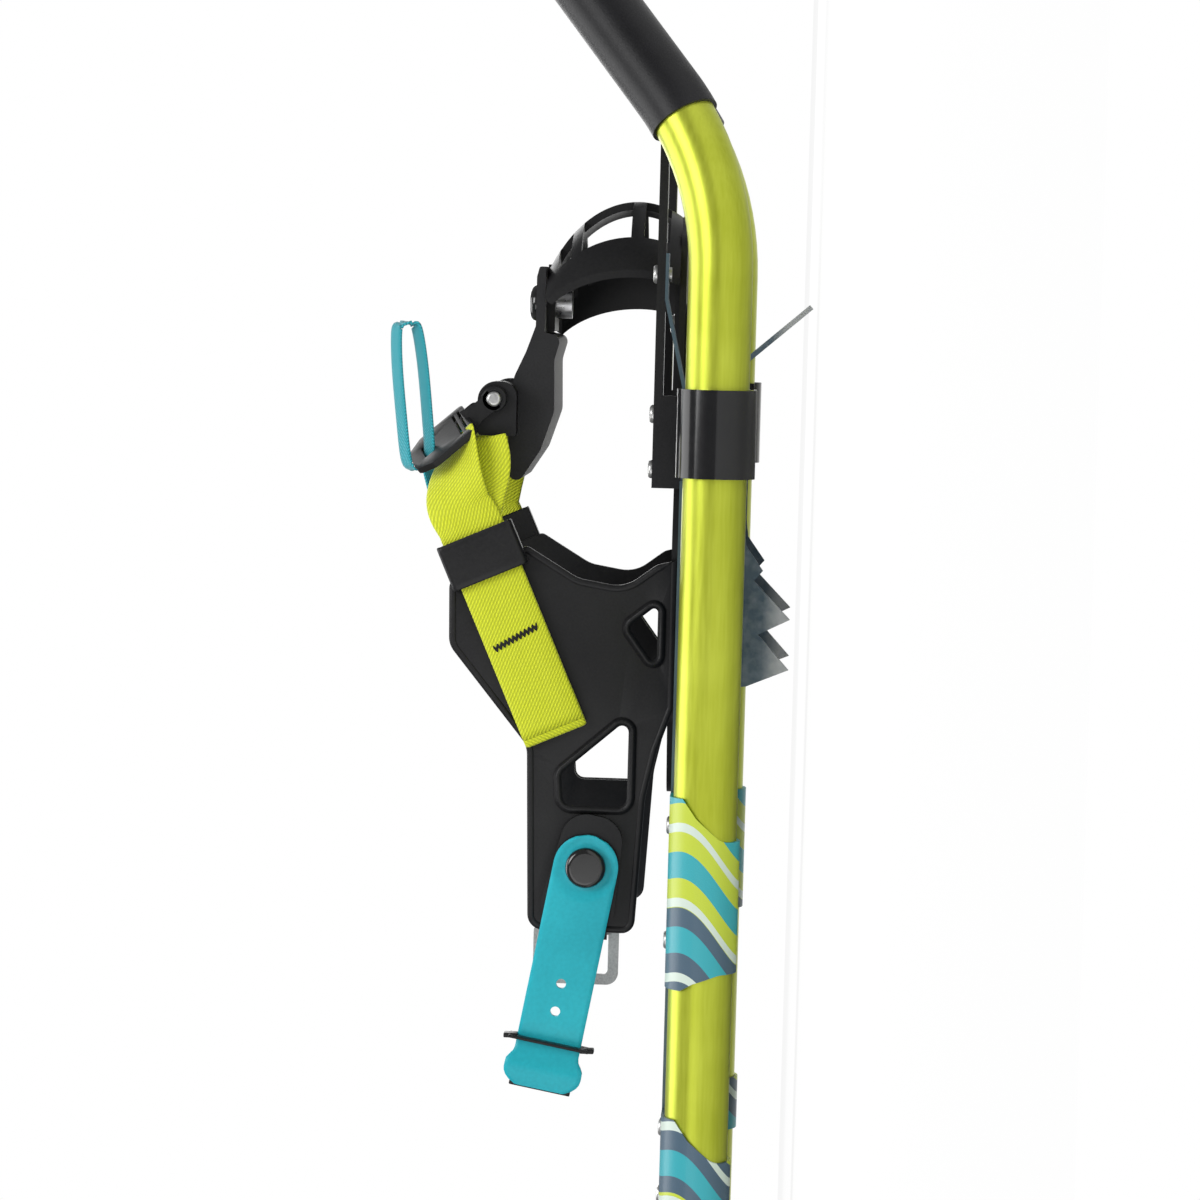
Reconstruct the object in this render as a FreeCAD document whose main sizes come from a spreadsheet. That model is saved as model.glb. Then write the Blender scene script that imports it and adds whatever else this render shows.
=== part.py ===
import FreeCAD, Part
import Sketcher
import math
import os
import re
from FreeCAD import Placement, Rotation, Vector

# One trail snowshoe, lying flat: +X is the toe, +Y the wearer's left, +Z up.
# The origin is on the ground, under the middle of the overall length and width.
# Every piece is drawn about the pivot axle's centre and then seated there.

os.makedirs("parts", exist_ok=True)
doc = FreeCAD.newDocument("snowshoe")
sheet = doc.addObject("Spreadsheet::Sheet", "Sizes")
rows = []


def size(alias, number):
    """Write one driving dimension, in mm or degrees, into the sheet."""
    rows.append(alias)
    row = len(rows)
    sheet.set("A%d" % row, alias)
    sheet.set("B%d" % row, str(number))
    sheet.setAlias("B%d" % row, alias)
    return number


def derived(alias, formula, number):
    """Write one size that follows others, as a formula, into the sheet."""
    size(alias, "=" + formula)
    return number


def bind(thing, field, formula):
    """Bind a property to a formula in the sheet's aliases."""
    thing.setExpression(field, re.sub(r"[a-z_]{3,}", lambda m: "Sizes." + m.group(), formula))


# ---- frame: overall sizes
overall_length = size("overall_length", 635)
rail_spacing = size("rail_spacing", 179)
toe_reach = size("toe_reach", 219)
claw_depth = size("claw_depth", 35)
tube_diameter = size("tube_diameter", 24)
tube_wall = size("tube_wall", 1.6)
toe_bend_start = size("toe_bend_start", 60)
toe_bend_radius = size("toe_bend_radius", 96)
toe_rise_angle = size("toe_rise_angle", 38)
toe_taper_angle = size("toe_taper_angle", 28)
sleeve_wall = size("sleeve_wall", 1.4)
sleeve_start_angle = size("sleeve_start_angle", 36)
tail_side_radius = size("tail_side_radius", 110)
tail_side_angle = size("tail_side_angle", 40)
slip_fit = size("slip_fit", 0.1)
running_fit = size("running_fit", 0.06)
# ---- toe moulding's arms
arm_height = size("arm_height", 21.3)
arm_thickness = size("arm_thickness", 3.2)
arm_inner = size("arm_inner", 52)
arm_width = size("arm_width", 10)
arm_back = size("arm_back", 22)
# ---- deck
deck_thickness = size("deck_thickness", 1.2)
hole_half_width = size("hole_half_width", 46)
hole_back = size("hole_back", 112)
wrap_front = size("wrap_front", 136)
wrap_width = size("wrap_width", 72)
rear_wrap_front = size("rear_wrap_front", 257)
rear_wrap_width = size("rear_wrap_width", 44)
tail_wrap_angle = size("tail_wrap_angle", 44)
rivet_shank = size("rivet_shank", 3.2)
rivet_head = size("rivet_head", 7)
# ---- pivot
band_width = size("band_width", 33)
band_wall = size("band_wall", 2.9)
axle_diameter = size("axle_diameter", 8)
bushing_wall = size("bushing_wall", 2)
# ---- binding
plate_thickness = size("plate_thickness", 2)
web_height = size("web_height", 8)
crampon_half_width = size("crampon_half_width", 36)
crampon_back = size("crampon_back", 101)
claw_angle = size("claw_angle", 49)
deck_clearance = size("deck_clearance", 0.6)
footbed_height = derived(
    "footbed_height",
    "tube_diameter / 2 + 2 * slip_fit + deck_thickness + deck_clearance",
    tube_diameter / 2 + 2 * slip_fit + deck_thickness + deck_clearance,
)
footbed_thickness = size("footbed_thickness", 2.5)
footbed_half_width = size("footbed_half_width", 47)
footbed_back = size("footbed_back", 142)
wing_thickness = size("wing_thickness", 3)
cage_reach = size("cage_reach", 61)
cage_centre = size("cage_centre", 26)
cage_half_width = size("cage_half_width", 43)
cage_wall = size("cage_wall", 3)
cage_skew = size("cage_skew", 0.16)
instep_half_width = size("instep_half_width", 30)
# ---- straps
strap_width = size("strap_width", 25)
webbing_thickness = size("webbing_thickness", 1.3)
heel_strap_thickness = size("heel_strap_thickness", 2.5)
heel_rivet_back = size("heel_rivet_back", 168.7)
heel_rivet_height = size("heel_rivet_height", 45.9)
button_diameter = size("button_diameter", 15.6)
buckle_wire = size("buckle_wire", 3)

tube_radius = tube_diameter / 2
rail = rail_spacing / 2
sleeve_radius = tube_radius + sleeve_wall
deck_bottom = tube_radius + 2 * slip_fit
deck_top = deck_bottom + deck_thickness
footbed_top = footbed_height + footbed_thickness
SIDES = {"right": -1, "left": 1}


# ---- ways of making a piece
def seat(piece):
    """Put a piece's own origin on the pivot axle's centre."""
    bind(piece, "Placement.Base.x", "overall_length / 2 - toe_reach")
    bind(piece, "Placement.Base.z", "claw_depth")
    return piece


def body(label):
    piece = doc.addObject("PartDesign::Body", label)
    piece.Label = label
    return seat(piece)


def drawn(label, shape):
    """A piece whose shape no body or primitive makes."""
    piece = doc.addObject("Part::Feature", label)
    piece.Label = label
    piece.Shape = shape
    return seat(piece)


def draw(sketch, corners):
    """A closed outline: each corner is (x, y) or (x, y, radius)."""
    runs = []
    count = len(corners)
    for i in range(count):
        here = Vector(corners[i][0], corners[i][1], 0)
        before = Vector(corners[i - 1][0], corners[i - 1][1], 0)
        after = Vector(corners[(i + 1) % count][0], corners[(i + 1) % count][1], 0)
        radius = corners[i][2] if len(corners[i]) > 2 else 0
        back = (before - here).normalize()
        ahead = (after - here).normalize()
        half = back.getAngle(ahead) / 2
        if radius == 0 or half > math.radians(89.5):
            runs.append((here, None, here))
            continue
        reach = radius / math.tan(half)
        middle = (back + ahead).normalize()
        crown = here + middle * (radius / math.sin(half) - radius)
        runs.append((here + back * reach, crown, here + ahead * reach))
    for i in range(count):
        start, crown, end = runs[i]
        if crown is not None:
            sketch.addGeometry(Part.Arc(start, crown, end), False)
        nearest = runs[(i + 1) % count][0]
        if (nearest - end).Length > 1e-4:
            sketch.addGeometry(Part.LineSegment(end, nearest), False)


def sketch_on(piece, role, loops, holes=()):
    plane = [f for f in piece.Origin.OriginFeatures if f.Role == role][0]
    sketch = piece.newObject("Sketcher::SketchObject", piece.Label + "_sketch")
    sketch.AttachmentSupport = [(plane, "")]
    sketch.MapMode = "FlatFace"
    for loop in loops:
        draw(sketch, loop)
    for x, y, diameter in holes:
        ring = sketch.addGeometry(Part.Circle(Vector(x, y, 0), Vector(0, 0, 1), 1), False)
        radius = sketch.addConstraint(Sketcher.Constraint("Radius", ring, 1.0))
        bind(sketch, "Constraints[%d]" % radius, "(%s) / 2" % diameter)
    return sketch


def pad(piece, sketch, thickness):
    feature = piece.newObject("PartDesign::Pad", piece.Label + "_pad")
    feature.Profile = sketch
    bind(feature, "Length", thickness)
    sketch.Visibility = False
    return feature


def flat(piece, loops, bottom, thickness, holes=()):
    """A level plate of a body: its outline in X and Y, from bottom upwards."""
    sketch = sketch_on(piece, "XY_Plane", loops, holes)
    bind(sketch, "AttachmentOffset.Base.z", bottom)
    return pad(piece, sketch, thickness)


def upright(piece, side, loops, inner, thickness, holes=()):
    """An upright plate of a body: its outline in X and Z, from inner outwards."""
    sketch = sketch_on(piece, "XZ_Plane", loops, holes)
    place = "-(%s) - (%s)" % (inner, thickness) if side > 0 else inner
    bind(sketch, "AttachmentOffset.Base.z", place)
    return pad(piece, sketch, thickness)


def both(corners):
    """Half an outline, drawn from front to back on the left, and its mirror."""
    mirrored = [(c[0], -c[1]) + tuple(c[2:]) for c in reversed(corners)]
    return [tuple(c) for c in corners] + mirrored


def rounded_head(radius, height, foot, direction):
    """A round head with a softened outer rim, rising from foot."""
    head = Part.makeCylinder(radius, height)
    rim = [e for e in head.Edges if e.CenterOfMass.z > height * 0.99]
    head = head.makeFillet(height * 0.7, rim)
    return moved(head, Placement(foot, Rotation(Vector(0, 0, 1), direction)))


def moved(shape, place):
    """A shape with its new place worked into its geometry."""
    shape.transformShape(place.toMatrix(), True)
    return shape


def rivet(foot, direction, shank, grip, head, dome, tail):
    """A domed rivet: grip is the stack it holds, from foot along direction."""
    pin = Part.makeCylinder(shank / 2, grip + tail, Vector(0, 0, -tail))
    top = rounded_head(head / 2, dome, Vector(0, 0, grip), Vector(0, 0, 1))
    solid = pin.fuse(top)
    if tail > 0:
        solid = solid.fuse(Part.makeCylinder(head * 0.4, tail, Vector(0, 0, -tail)))
    return moved(solid.removeSplitter(), Placement(foot, Rotation(Vector(0, 0, 1), direction)))


def cylinder(label, radius, length, centre, direction):
    """A round bar of the document, centred where it is told, seated apart."""
    bar = doc.addObject("Part::Cylinder", label)
    bind(bar, "Radius", radius)
    bind(bar, "Height", length)
    doc.recompute()
    turn = Rotation(Vector(0, 0, 1), direction)
    bar.Placement = Placement(centre - turn.multVec(Vector(0, 0, bar.Height.Value / 2)), turn)
    return bar


def boolean(kind, label, base, tools):
    """A cut or fuse of document objects, seated on the pivot."""
    if kind == "Cut" and len(tools) > 1:
        tools = [boolean("MultiFuse", label + "_tools", tools[0], tools[1:])]
        tools[0].Placement = Placement()
        tools[0].setExpression("Placement.Base.x", None)
        tools[0].setExpression("Placement.Base.z", None)
    piece = doc.addObject("Part::" + kind, label)
    if kind == "MultiFuse":
        piece.Shapes = [base] + list(tools)
    else:
        piece.Base = base
        piece.Tool = tools[0]
    piece.Label = label
    return seat(piece)


# ---- frame centreline: a bender's runs and arcs, on the right-hand side
rise = math.tan(math.radians(toe_rise_angle))
taper = math.tan(math.radians(toe_taper_angle))
leg = Vector(1, taper, rise).normalize()
toe_turn = math.acos(leg.x)
sideways = Vector(0, leg.y, leg.z).normalize()
toe_forward = Vector(math.cos(math.radians(toe_rise_angle)), 0, math.sin(math.radians(toe_rise_angle)))
bend_foot = Vector(toe_bend_start, -rail, 0)


def toe_bend(angle):
    """A point on the bend from the rail into the raised toe."""
    along = toe_bend_radius * math.sin(angle)
    aside = toe_bend_radius * (1 - math.cos(angle))
    return bend_foot + Vector(along, 0, 0) + sideways * aside


bend_end = toe_bend(toe_turn)
leg_angle = math.asin(leg.y / math.hypot(leg.y, leg.dot(toe_forward)))
half_toe = -bend_end.y
nose_run = (toe_reach - sleeve_radius - bend_end.x) / toe_forward.x
nose_radius = half_toe * math.cos(leg_angle) - nose_run * math.sin(leg_angle)
nose_radius /= 1 - math.sin(leg_angle)
leg_length = (half_toe - nose_radius * math.cos(leg_angle)) / math.sin(leg_angle)
leg_end = bend_end + leg * leg_length
nose = Vector(bend_end.x, 0, bend_end.z) + toe_forward * nose_run


def across(point):
    return Vector(point.x, -point.y, point.z)


tail_turn = math.radians(tail_side_angle)
tail_radius = (rail - tail_side_radius * (1 - math.cos(tail_turn))) / math.cos(tail_turn)
tail_end = toe_reach - overall_length + deck_top - slip_fit / 2
tail_centre = tail_end + tail_radius
tail_start = tail_centre - tail_radius * math.sin(tail_turn) + tail_side_radius * math.sin(tail_turn)


def tail_side(angle, inset=0.0):
    """A point on the long arc from the right rail towards the tail."""
    radius = tail_side_radius - inset
    across_rail = tail_side_radius - rail
    return Vector(tail_start - radius * math.sin(angle), across_rail - radius * math.cos(angle), 0)


def tail_point(angle, inset=0.0):
    """A point on the tail arc, from straight back towards the right."""
    radius = tail_radius - inset
    return Vector(tail_centre - radius * math.cos(angle), -radius * math.sin(angle), 0)


def line(a, b):
    return Part.LineSegment(a, b).toShape()


def arc(a, m, b):
    return Part.Arc(a, m, b).toShape()


def pipe(edges, radius):
    """A round bar swept along tangent runs and arcs."""
    path = Part.Wire(edges)
    start = edges[0].Vertexes[0].Point
    heading = edges[0].tangentAt(edges[0].FirstParameter)
    ring = Part.Wire([Part.Circle(start, heading, radius).toShape()])
    return path.makePipeShell([ring], True, False)


sleeve_angle = math.radians(sleeve_start_angle)
lap = Vector(leg) * 15
tail_quarter = math.pi / 2 - tail_turn


def frame_path():
    """The bent tube from its right end round the tail to its left end."""
    right = [
        line(bend_end + lap, bend_end),
        arc(bend_end, toe_bend(toe_turn / 2), bend_foot),
        line(bend_foot, tail_side(0)),
        arc(tail_side(0), tail_side(tail_turn / 2), tail_side(tail_turn)),
    ]
    tail = [arc(tail_point(tail_quarter), tail_point(0), across(tail_point(tail_quarter)))]
    left = [
        arc(across(tail_side(tail_turn)), across(tail_side(tail_turn / 2)), across(tail_side(0))),
        line(across(tail_side(0)), across(bend_foot)),
        arc(across(bend_foot), across(toe_bend(toe_turn / 2)), across(bend_end)),
        line(across(bend_end), across(bend_end + lap)),
    ]
    return right + tail + left


# ---- frame tube: one aluminium tube bent round the tail
outer_tube = pipe(frame_path(), tube_radius)
inner_tube = pipe(frame_path(), tube_radius - tube_wall)
drawn("frame_tube", outer_tube.cut(inner_tube))

# ---- toe bow: one moulding that sleeves both tube ends, with a web and two arms
sleeve_foot = toe_bend(sleeve_angle)
sleeve_mid = toe_bend((sleeve_angle + toe_turn) / 2)
bow_path = [
    arc(sleeve_foot, sleeve_mid, bend_end),
    line(bend_end, leg_end),
    arc(leg_end, nose, across(leg_end)),
    line(across(leg_end), across(bend_end)),
    arc(across(bend_end), across(sleeve_mid), across(sleeve_foot)),
]
bow = pipe(bow_path, sleeve_radius)
web_rear = [
    Vector(bend_end.x, -half_toe, bend_end.z),
    Vector(bend_end.x, 0, bend_end.z) + toe_forward * 24,
    Vector(bend_end.x, half_toe, bend_end.z),
]
web_outline = Part.Wire(
    [
        line(bend_end, leg_end),
        arc(leg_end, nose, across(leg_end)),
        line(across(leg_end), across(bend_end)),
        arc(web_rear[2], web_rear[1], web_rear[0]),
    ]
)
web_normal = Vector(-toe_forward.z, 0, toe_forward.x)
web = Part.Face(web_outline).extrude(web_normal * arm_thickness)
web.translate(web_normal * (-arm_thickness / 2))
bow = bow.fuse(web)
arm_outer = arm_inner + arm_width
arm_join = bend_end.x + 6
arm_plan = [
    (arm_join, arm_inner - 2),
    (arm_join, half_toe - 2),
    (sleeve_foot.x + 3, half_toe - 2),
    (sleeve_foot.x + 1, arm_outer),
    (-arm_back, arm_outer),
    (-arm_back, arm_inner),
    (sleeve_foot.x - 8, arm_inner),
]
boss_front = arm_back - 9
bow_rivet_x = [-arm_back + 7, boss_front - 7, toe_bend_start - 1]
arm_middle = arm_inner + arm_width / 2
for side in (-1, 1):
    corners = [Vector(x, side * y, arm_height) for x, y in arm_plan]
    outline = Part.makePolygon(corners + corners[:1])
    bow = bow.fuse(Part.Face(outline).extrude(Vector(0, 0, arm_thickness)))
    boss = Part.makeBox(arm_back + boss_front, arm_width, arm_height - deck_top)
    boss.translate(Vector(-arm_back, side * arm_middle - arm_width / 2, deck_top))
    bow = bow.fuse(boss)
    for x in bow_rivet_x:
        drill = Part.makeCylinder(rivet_shank / 2, 40, Vector(x, side * arm_middle, 0))
        bow = bow.cut(drill)
bore_path = [
    arc(sleeve_foot, sleeve_mid, bend_end),
    line(bend_end, bend_end + lap),
]
bore_path_left = [
    arc(across(sleeve_foot), across(sleeve_mid), across(bend_end)),
    line(across(bend_end), across(bend_end + lap)),
]
for path in (bore_path, bore_path_left):
    bow = bow.cut(pipe(path, tube_radius + slip_fit / 2))
drawn("toe_bow", bow.removeSplitter())

# ---- deck: one sheet over the rails, its flaps wrapped round the tube
tab_flat = arm_height - deck_thickness
tab_front = toe_bend_start + 7
deck_edge = rail - tube_radius + 0.5
band_clear = rail - 26
flap_inner = rail - 32
pocket_half = band_width / 2 + 2
half_tail_wrap = math.radians(tail_wrap_angle / 2)
wrap_slope = 16


def wrapped(x_front, width):
    """The deck's edge stepping out to the middle of the rail for one wrap."""
    return [(-x_front, deck_edge), (-x_front, rail), (-x_front - width, rail), (-x_front - width, deck_edge)]


deck = body("deck_sheet")
edge_left = [(16, arm_inner - 1), (16, band_clear)]
edge_left += [(-pocket_half, band_clear), (-pocket_half, deck_edge)]
edge_left += wrapped(wrap_front, wrap_width)
edge_left += wrapped(rear_wrap_front, rear_wrap_width)
deck_sketch = sketch_on(deck, "XY_Plane", [])
bind(deck_sketch, "AttachmentOffset.Base.z", "tube_diameter / 2 + 2 * slip_fit")
inset = tube_radius - 0.5
side_back = [tail_side(a * tail_turn, inset) for a in (0, 0.5, 1)]
tail_back = [tail_point(a, inset) for a in (tail_quarter, (tail_quarter + half_tail_wrap) / 2, half_tail_wrap)]
tail_wrap = [tail_point(a) for a in (half_tail_wrap, 0, -half_tail_wrap)]


def level(point):
    return Vector(point.x, point.y, 0)


def chain(points):
    for a, b in zip(points, points[1:]):
        deck_sketch.addGeometry(Part.LineSegment(a, b), False)


left_chain = [Vector(x, y, 0) for x, y in edge_left] + [level(across(side_back[0]))]
chain(left_chain)
chain([Vector(p.x, -p.y, 0) for p in left_chain])
for turned in (level, lambda p: level(across(p))):
    a, m, b = [turned(p) for p in side_back]
    deck_sketch.addGeometry(Part.Arc(a, m, b), False)
    a, m, b = [turned(p) for p in tail_back]
    deck_sketch.addGeometry(Part.Arc(a, m, b), False)
    deck_sketch.addGeometry(Part.LineSegment(turned(tail_back[2]), turned(tail_wrap[0])), False)
deck_sketch.addGeometry(Part.Arc(*[level(p) for p in tail_wrap]), False)
hole_front = Vector(16, arm_inner - 1, 0)
hole_left = [
    hole_front,
    Vector(-30, arm_inner - 1, 0),
    Vector(-36, hole_half_width, 0),
    Vector(-hole_back + 20, hole_half_width, 0),
]
chain(hole_left)
chain([Vector(p.x, -p.y, 0) for p in hole_left])
hole_corner = 20 * math.sqrt(0.5)
for side in (-1, 1):
    middle = Vector(-hole_back + 20 - hole_corner, side * (hole_half_width - 20 + hole_corner), 0)
    start = Vector(-hole_back + 20, side * hole_half_width, 0)
    end = Vector(-hole_back, side * (hole_half_width - 20), 0)
    deck_sketch.addGeometry(Part.Arc(start, middle, end), False)
hole_end = Vector(-hole_back, hole_half_width - 20, 0)
deck_sketch.addGeometry(Part.LineSegment(hole_end, Vector(hole_end.x, -hole_end.y, 0)), False)
deck_rivet_x = [-arm_back + 7, boss_front - 7]
wrap_rivet_x = [-wrap_front - 14, -wrap_front - wrap_width + 14]
wrap_rivet_x += [-rear_wrap_front - 9, -rear_wrap_front - rear_wrap_width + 9]
flap_middle = flap_inner + 8
tail_rivet_angle = math.radians(11)
tail_rivets = [tail_point(a, 24) for a in (-tail_rivet_angle, tail_rivet_angle)]
deck_holes = [(x, s * arm_middle) for x in deck_rivet_x for s in (-1, 1)]
flap_holes = [(x, s * flap_middle) for x in wrap_rivet_x for s in (-1, 1)]
flap_holes += [(p.x, p.y) for p in tail_rivets]
for x, y in deck_holes + flap_holes:
    deck_sketch.addGeometry(Part.Circle(Vector(x, y, 0), Vector(0, 0, 1), rivet_shank / 2), False)
pad(deck, deck_sketch, "deck_thickness")
for front, width, alias in (
    (wrap_front, wrap_width, "wrap"),
    (rear_wrap_front, rear_wrap_width, "rear_wrap"),
):
    ring_sketch = sketch_on(deck, "YZ_Plane", [])
    bind(ring_sketch, "AttachmentOffset.Base.z", "-%s_front - %s_width" % (alias, alias))
    for side in (-1, 1):
        for radius in (deck_bottom - slip_fit / 2, deck_top - slip_fit / 2):
            ring_sketch.addGeometry(Part.Circle(Vector(side * rail, 0, 0), Vector(0, 0, 1), radius), False)
    pad(deck, ring_sketch, "%s_width" % alias)
    taper_sketch = sketch_on(deck, "XZ_Plane", [])
    for edge, inward in ((-front, -1), (-front - width, 1)):
        slope_run = wrap_slope * (1 if inward < 0 else 0.4)
        low_corner = edge + inward * slope_run
        draw(
            taper_sketch,
            [
                (edge - inward, tube_radius - 3),
                (edge + inward * slope_run * 0.45, tube_radius - 9, 6),
                (low_corner, -tube_radius + 5, 8),
                (low_corner, -tube_radius - 4),
                (edge - inward, -tube_radius - 4),
            ],
        )
    tapered = deck.newObject("PartDesign::Pocket", "%s_taper" % alias)
    tapered.Profile = taper_sketch
    tapered.Midplane = True
    bind(tapered, "Length", "rail_spacing + 4 * tube_diameter")
    for side in (-1, 1):
        near = side * flap_inner
        far = side * (rail - tube_radius / 2)
        loop = [(-front, near), (-front, far), (-front - width, far), (-front - width, near)]
        rivets = [(x, y, "rivet_shank") for x, y in flap_holes if y * side > 0 and -front > x > -front - width]
        flat(deck, [loop], "tube_diameter / 2 - deck_thickness", "deck_thickness * 2 + 2 * slip_fit", rivets)
tail_ring = sketch_on(deck, "XZ_Plane", [])
tail_ring.AttachmentOffset = Placement(Vector(tail_centre, 0, 0), Rotation())
for radius in (deck_bottom - slip_fit / 2, deck_top - slip_fit / 2):
    tail_ring.addGeometry(Part.Circle(Vector(-tail_radius, 0, 0), Vector(0, 0, 1), radius), False)
tail_turned = deck.newObject("PartDesign::Revolution", "tail_wrap")
tail_turned.Profile = tail_ring
tail_turned.ReferenceAxis = (tail_ring, ["V_Axis"])
tail_turned.Midplane = True
bind(tail_turned, "Angle", "tail_wrap_angle")
flap_sketch = sketch_on(deck, "XY_Plane", [])
bind(flap_sketch, "AttachmentOffset.Base.z", "tube_diameter / 2 - deck_thickness")
for inset in (6, 32):
    ends = [level(tail_point(a, inset)) for a in (half_tail_wrap, 0, -half_tail_wrap)]
    flap_sketch.addGeometry(Part.Arc(*ends), False)
for side in (-1, 1):
    ends = [level(tail_point(side * half_tail_wrap, inset)) for inset in (6, 32)]
    flap_sketch.addGeometry(Part.LineSegment(*ends), False)
for p in tail_rivets:
    flap_sketch.addGeometry(Part.Circle(level(p), Vector(0, 0, 1), rivet_shank / 2), False)
pad(deck, flap_sketch, "deck_thickness * 2 + 2 * slip_fit")
tab_profile = [
    (15, deck_bottom),
    (tab_front - 17, tab_flat),
    (tab_front, tab_flat),
    (tab_front, arm_height),
    (tab_front - 17.6, arm_height),
    (14.4, deck_top),
]
for side in (-1, 1):
    upright(deck, side, [tab_profile], "arm_inner - 1", "arm_width + 2")
    tab_hole = sketch_on(deck, "XY_Plane", [], [(bow_rivet_x[2], side * arm_middle, "rivet_shank")])
    bind(tab_hole, "AttachmentOffset.Base.z", "arm_height + 1")
    drilled = deck.newObject("PartDesign::Pocket", "tab_hole")
    drilled.Profile = tab_hole
    bind(drilled, "Length", "deck_thickness + 2")

# ---- rivets that hold the deck's flaps, and the toe moulding to the deck
flap_grip = 2 * deck_thickness + 2 * slip_fit
up = Vector(0, 0, 1)
drawn(
    "deck_rivets",
    Part.makeCompound(
        [
            rivet(Vector(x, y, tube_radius - deck_thickness), up, rivet_shank, flap_grip, rivet_head, 1.6, 1)
            for x, y in flap_holes
        ]
    ),
)
toe_rivets = []
arm_top = arm_height + arm_thickness
for side in (-1, 1):
    for x in bow_rivet_x:
        foot = deck_bottom if x < boss_front else tab_flat
        place = Vector(x, side * arm_middle, foot)
        toe_rivets.append(rivet(place, up, rivet_shank, arm_top - foot, rivet_head, 1.6, 1))
drawn("toe_bow_rivets", Part.makeCompound(toe_rivets))

# ---- pivot bands: moulded clamps round the rails that hold the axle's bushings
block_inner = rail - 25.5
block_outer = rail - 8
block_low = -12
block_high = 11
bushing_end = rail - tube_radius - 1
screw_x = 11
screw_y = rail - 19.5
for name, side in SIDES.items():
    centre = Vector(0, side * rail, 0)
    ring = cylinder("band_ring_" + name, "tube_diameter / 2 + band_wall", "band_width", centre, Vector(1, 0, 0))
    block = doc.addObject("Part::Box", "band_block_" + name)
    bind(block, "Length", "band_width")
    bind(block, "Width", "17.5")
    bind(block, "Height", "23")
    low_y = block_inner if side > 0 else -block_outer
    block.Placement = Placement(Vector(-band_width / 2, low_y, block_low), Rotation())
    solid = boolean("MultiFuse", "band_solid_" + name, ring, [block])
    for field in ("Placement.Base.x", "Placement.Base.z"):
        solid.setExpression(field, None)
    solid.Placement = Placement()
    tube_bore = cylinder(
        "band_bore_" + name, "tube_diameter / 2 + slip_fit", "band_width + 2", centre, Vector(1, 0, 0)
    )
    seat_middle = (block_inner + bushing_end) / 2 - 1
    bush_bore = cylinder(
        "bush_bore_" + name,
        "axle_diameter / 2 + bushing_wall",
        "25.5 - tube_diameter / 2 - 1 + 2",
        Vector(0, side * seat_middle, 0),
        Vector(0, 1, 0),
    )
    drills = [
        cylinder("screw_bore_%s_%d" % (name, s), "2", "40", Vector(s * screw_x, side * screw_y, 0), up)
        for s in (-1, 1)
    ]
    boolean("Cut", "pivot_band_" + name, solid, [tube_bore, bush_bore] + drills)
screws = []
for side in (-1, 1):
    for s in (-1, 1):
        foot = Vector(s * screw_x, side * screw_y, block_low)
        screws.append(rivet(foot, up, 4, block_high - block_low, 7.4, 2, 1.2))
drawn("band_screws", Part.makeCompound(screws))

# ---- axle: a steel rod that turns in two flanged bushings
for name, side in SIDES.items():
    bush = body("pivot_bushing_" + name)
    upright(
        bush,
        side,
        [],
        "rail_spacing / 2 - 25.5",
        "25.5 - tube_diameter / 2 - 1",
        [(0, 0, "axle_diameter + 2 * bushing_wall"), (0, 0, "axle_diameter + 2 * running_fit")],
    )
    upright(
        bush,
        side,
        [],
        "rail_spacing / 2 - 25.5 - 1.5",
        "1.5",
        [(0, 0, "axle_diameter + 2 * bushing_wall + 5"), (0, 0, "axle_diameter + 2 * running_fit")],
    )
axle = cylinder("pivot_axle", "axle_diameter / 2", "rail_spacing - tube_diameter - 4", Vector(0, 0, 0), Vector(0, 1, 0))
axle.Label = "pivot_axle"
seat(axle)
collar_length = 4
collars = []
for side in (-1, 1):
    foot = Vector(0, side * crampon_half_width, 0)
    outside = Vector(0, side, 0)
    ring = Part.makeCylinder(axle_diameter / 2 + 2.5, collar_length, foot, outside)
    collars.append(ring.cut(Part.makeCylinder(axle_diameter / 2, collar_length, foot, outside)))
drawn("axle_collars", Part.makeCompound(collars))

# ---- crampon: one pressed plate, a web with toothed side flanges and front claws
web_front = 11.5
wing_rivet_x = [-62, -90]
wing_rivet_y = 30
cage_rivet_x = [0, 40]
cage_rivet_y = 22
web_holes = [(x, s * wing_rivet_y, "rivet_shank") for x in wing_rivet_x for s in (-1, 1)]
web_holes += [(cage_rivet_x[0], s * cage_rivet_y, "rivet_shank") for s in (-1, 1)]
crampon = body("toe_crampon")
half_web = [(web_front, crampon_half_width), (-crampon_back, crampon_half_width, 6)]
web_top = web_height + plate_thickness
flat(crampon, [both(half_web)], "web_height", "plate_thickness", web_holes)
tooth_profile = [
    (web_front, web_top),
    (web_front + 2, -4, 6),
    (9, -11, 6),
    (-38, -11, 6),
    (-44.4, -11.8),
    (-53.9, -18.6),
    (-57.8, -15.2),
    (-72.5, -29.5),
    (-78.6, -17.3),
    (-92, -29.5),
    (-98.8, -13.3),
    (-crampon_back, web_top),
]
for side in (-1, 1):
    upright(
        crampon,
        side,
        [tooth_profile],
        "crampon_half_width - plate_thickness",
        "plate_thickness",
        [(0, 0, "axle_diameter")],
    )
claw_tip = (claw_depth + web_height) / math.sin(math.radians(claw_angle))
claw_root = claw_tip - 22
claw_outline = [(0, 36), (claw_root - 8, 36), (claw_tip, 29), (claw_root, 19), (claw_tip, 9.5), (claw_root, 0, 1)]
claw_outline = [(u, v * crampon_half_width / 36) + tuple(r) for u, v, *r in claw_outline]
claw_mirror = [(u, -v) for u, v, *r in reversed(claw_outline[:-1])]
claw_sketch = sketch_on(crampon, "XY_Plane", [claw_outline + claw_mirror])
claw_sketch.AttachmentOffset = Placement(
    Vector(web_front - 1.5, 0, web_height), Rotation(Vector(0, 1, 0), claw_angle)
)
bind(claw_sketch, "AttachmentOffset.Rotation.Angle", "claw_angle")
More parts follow.
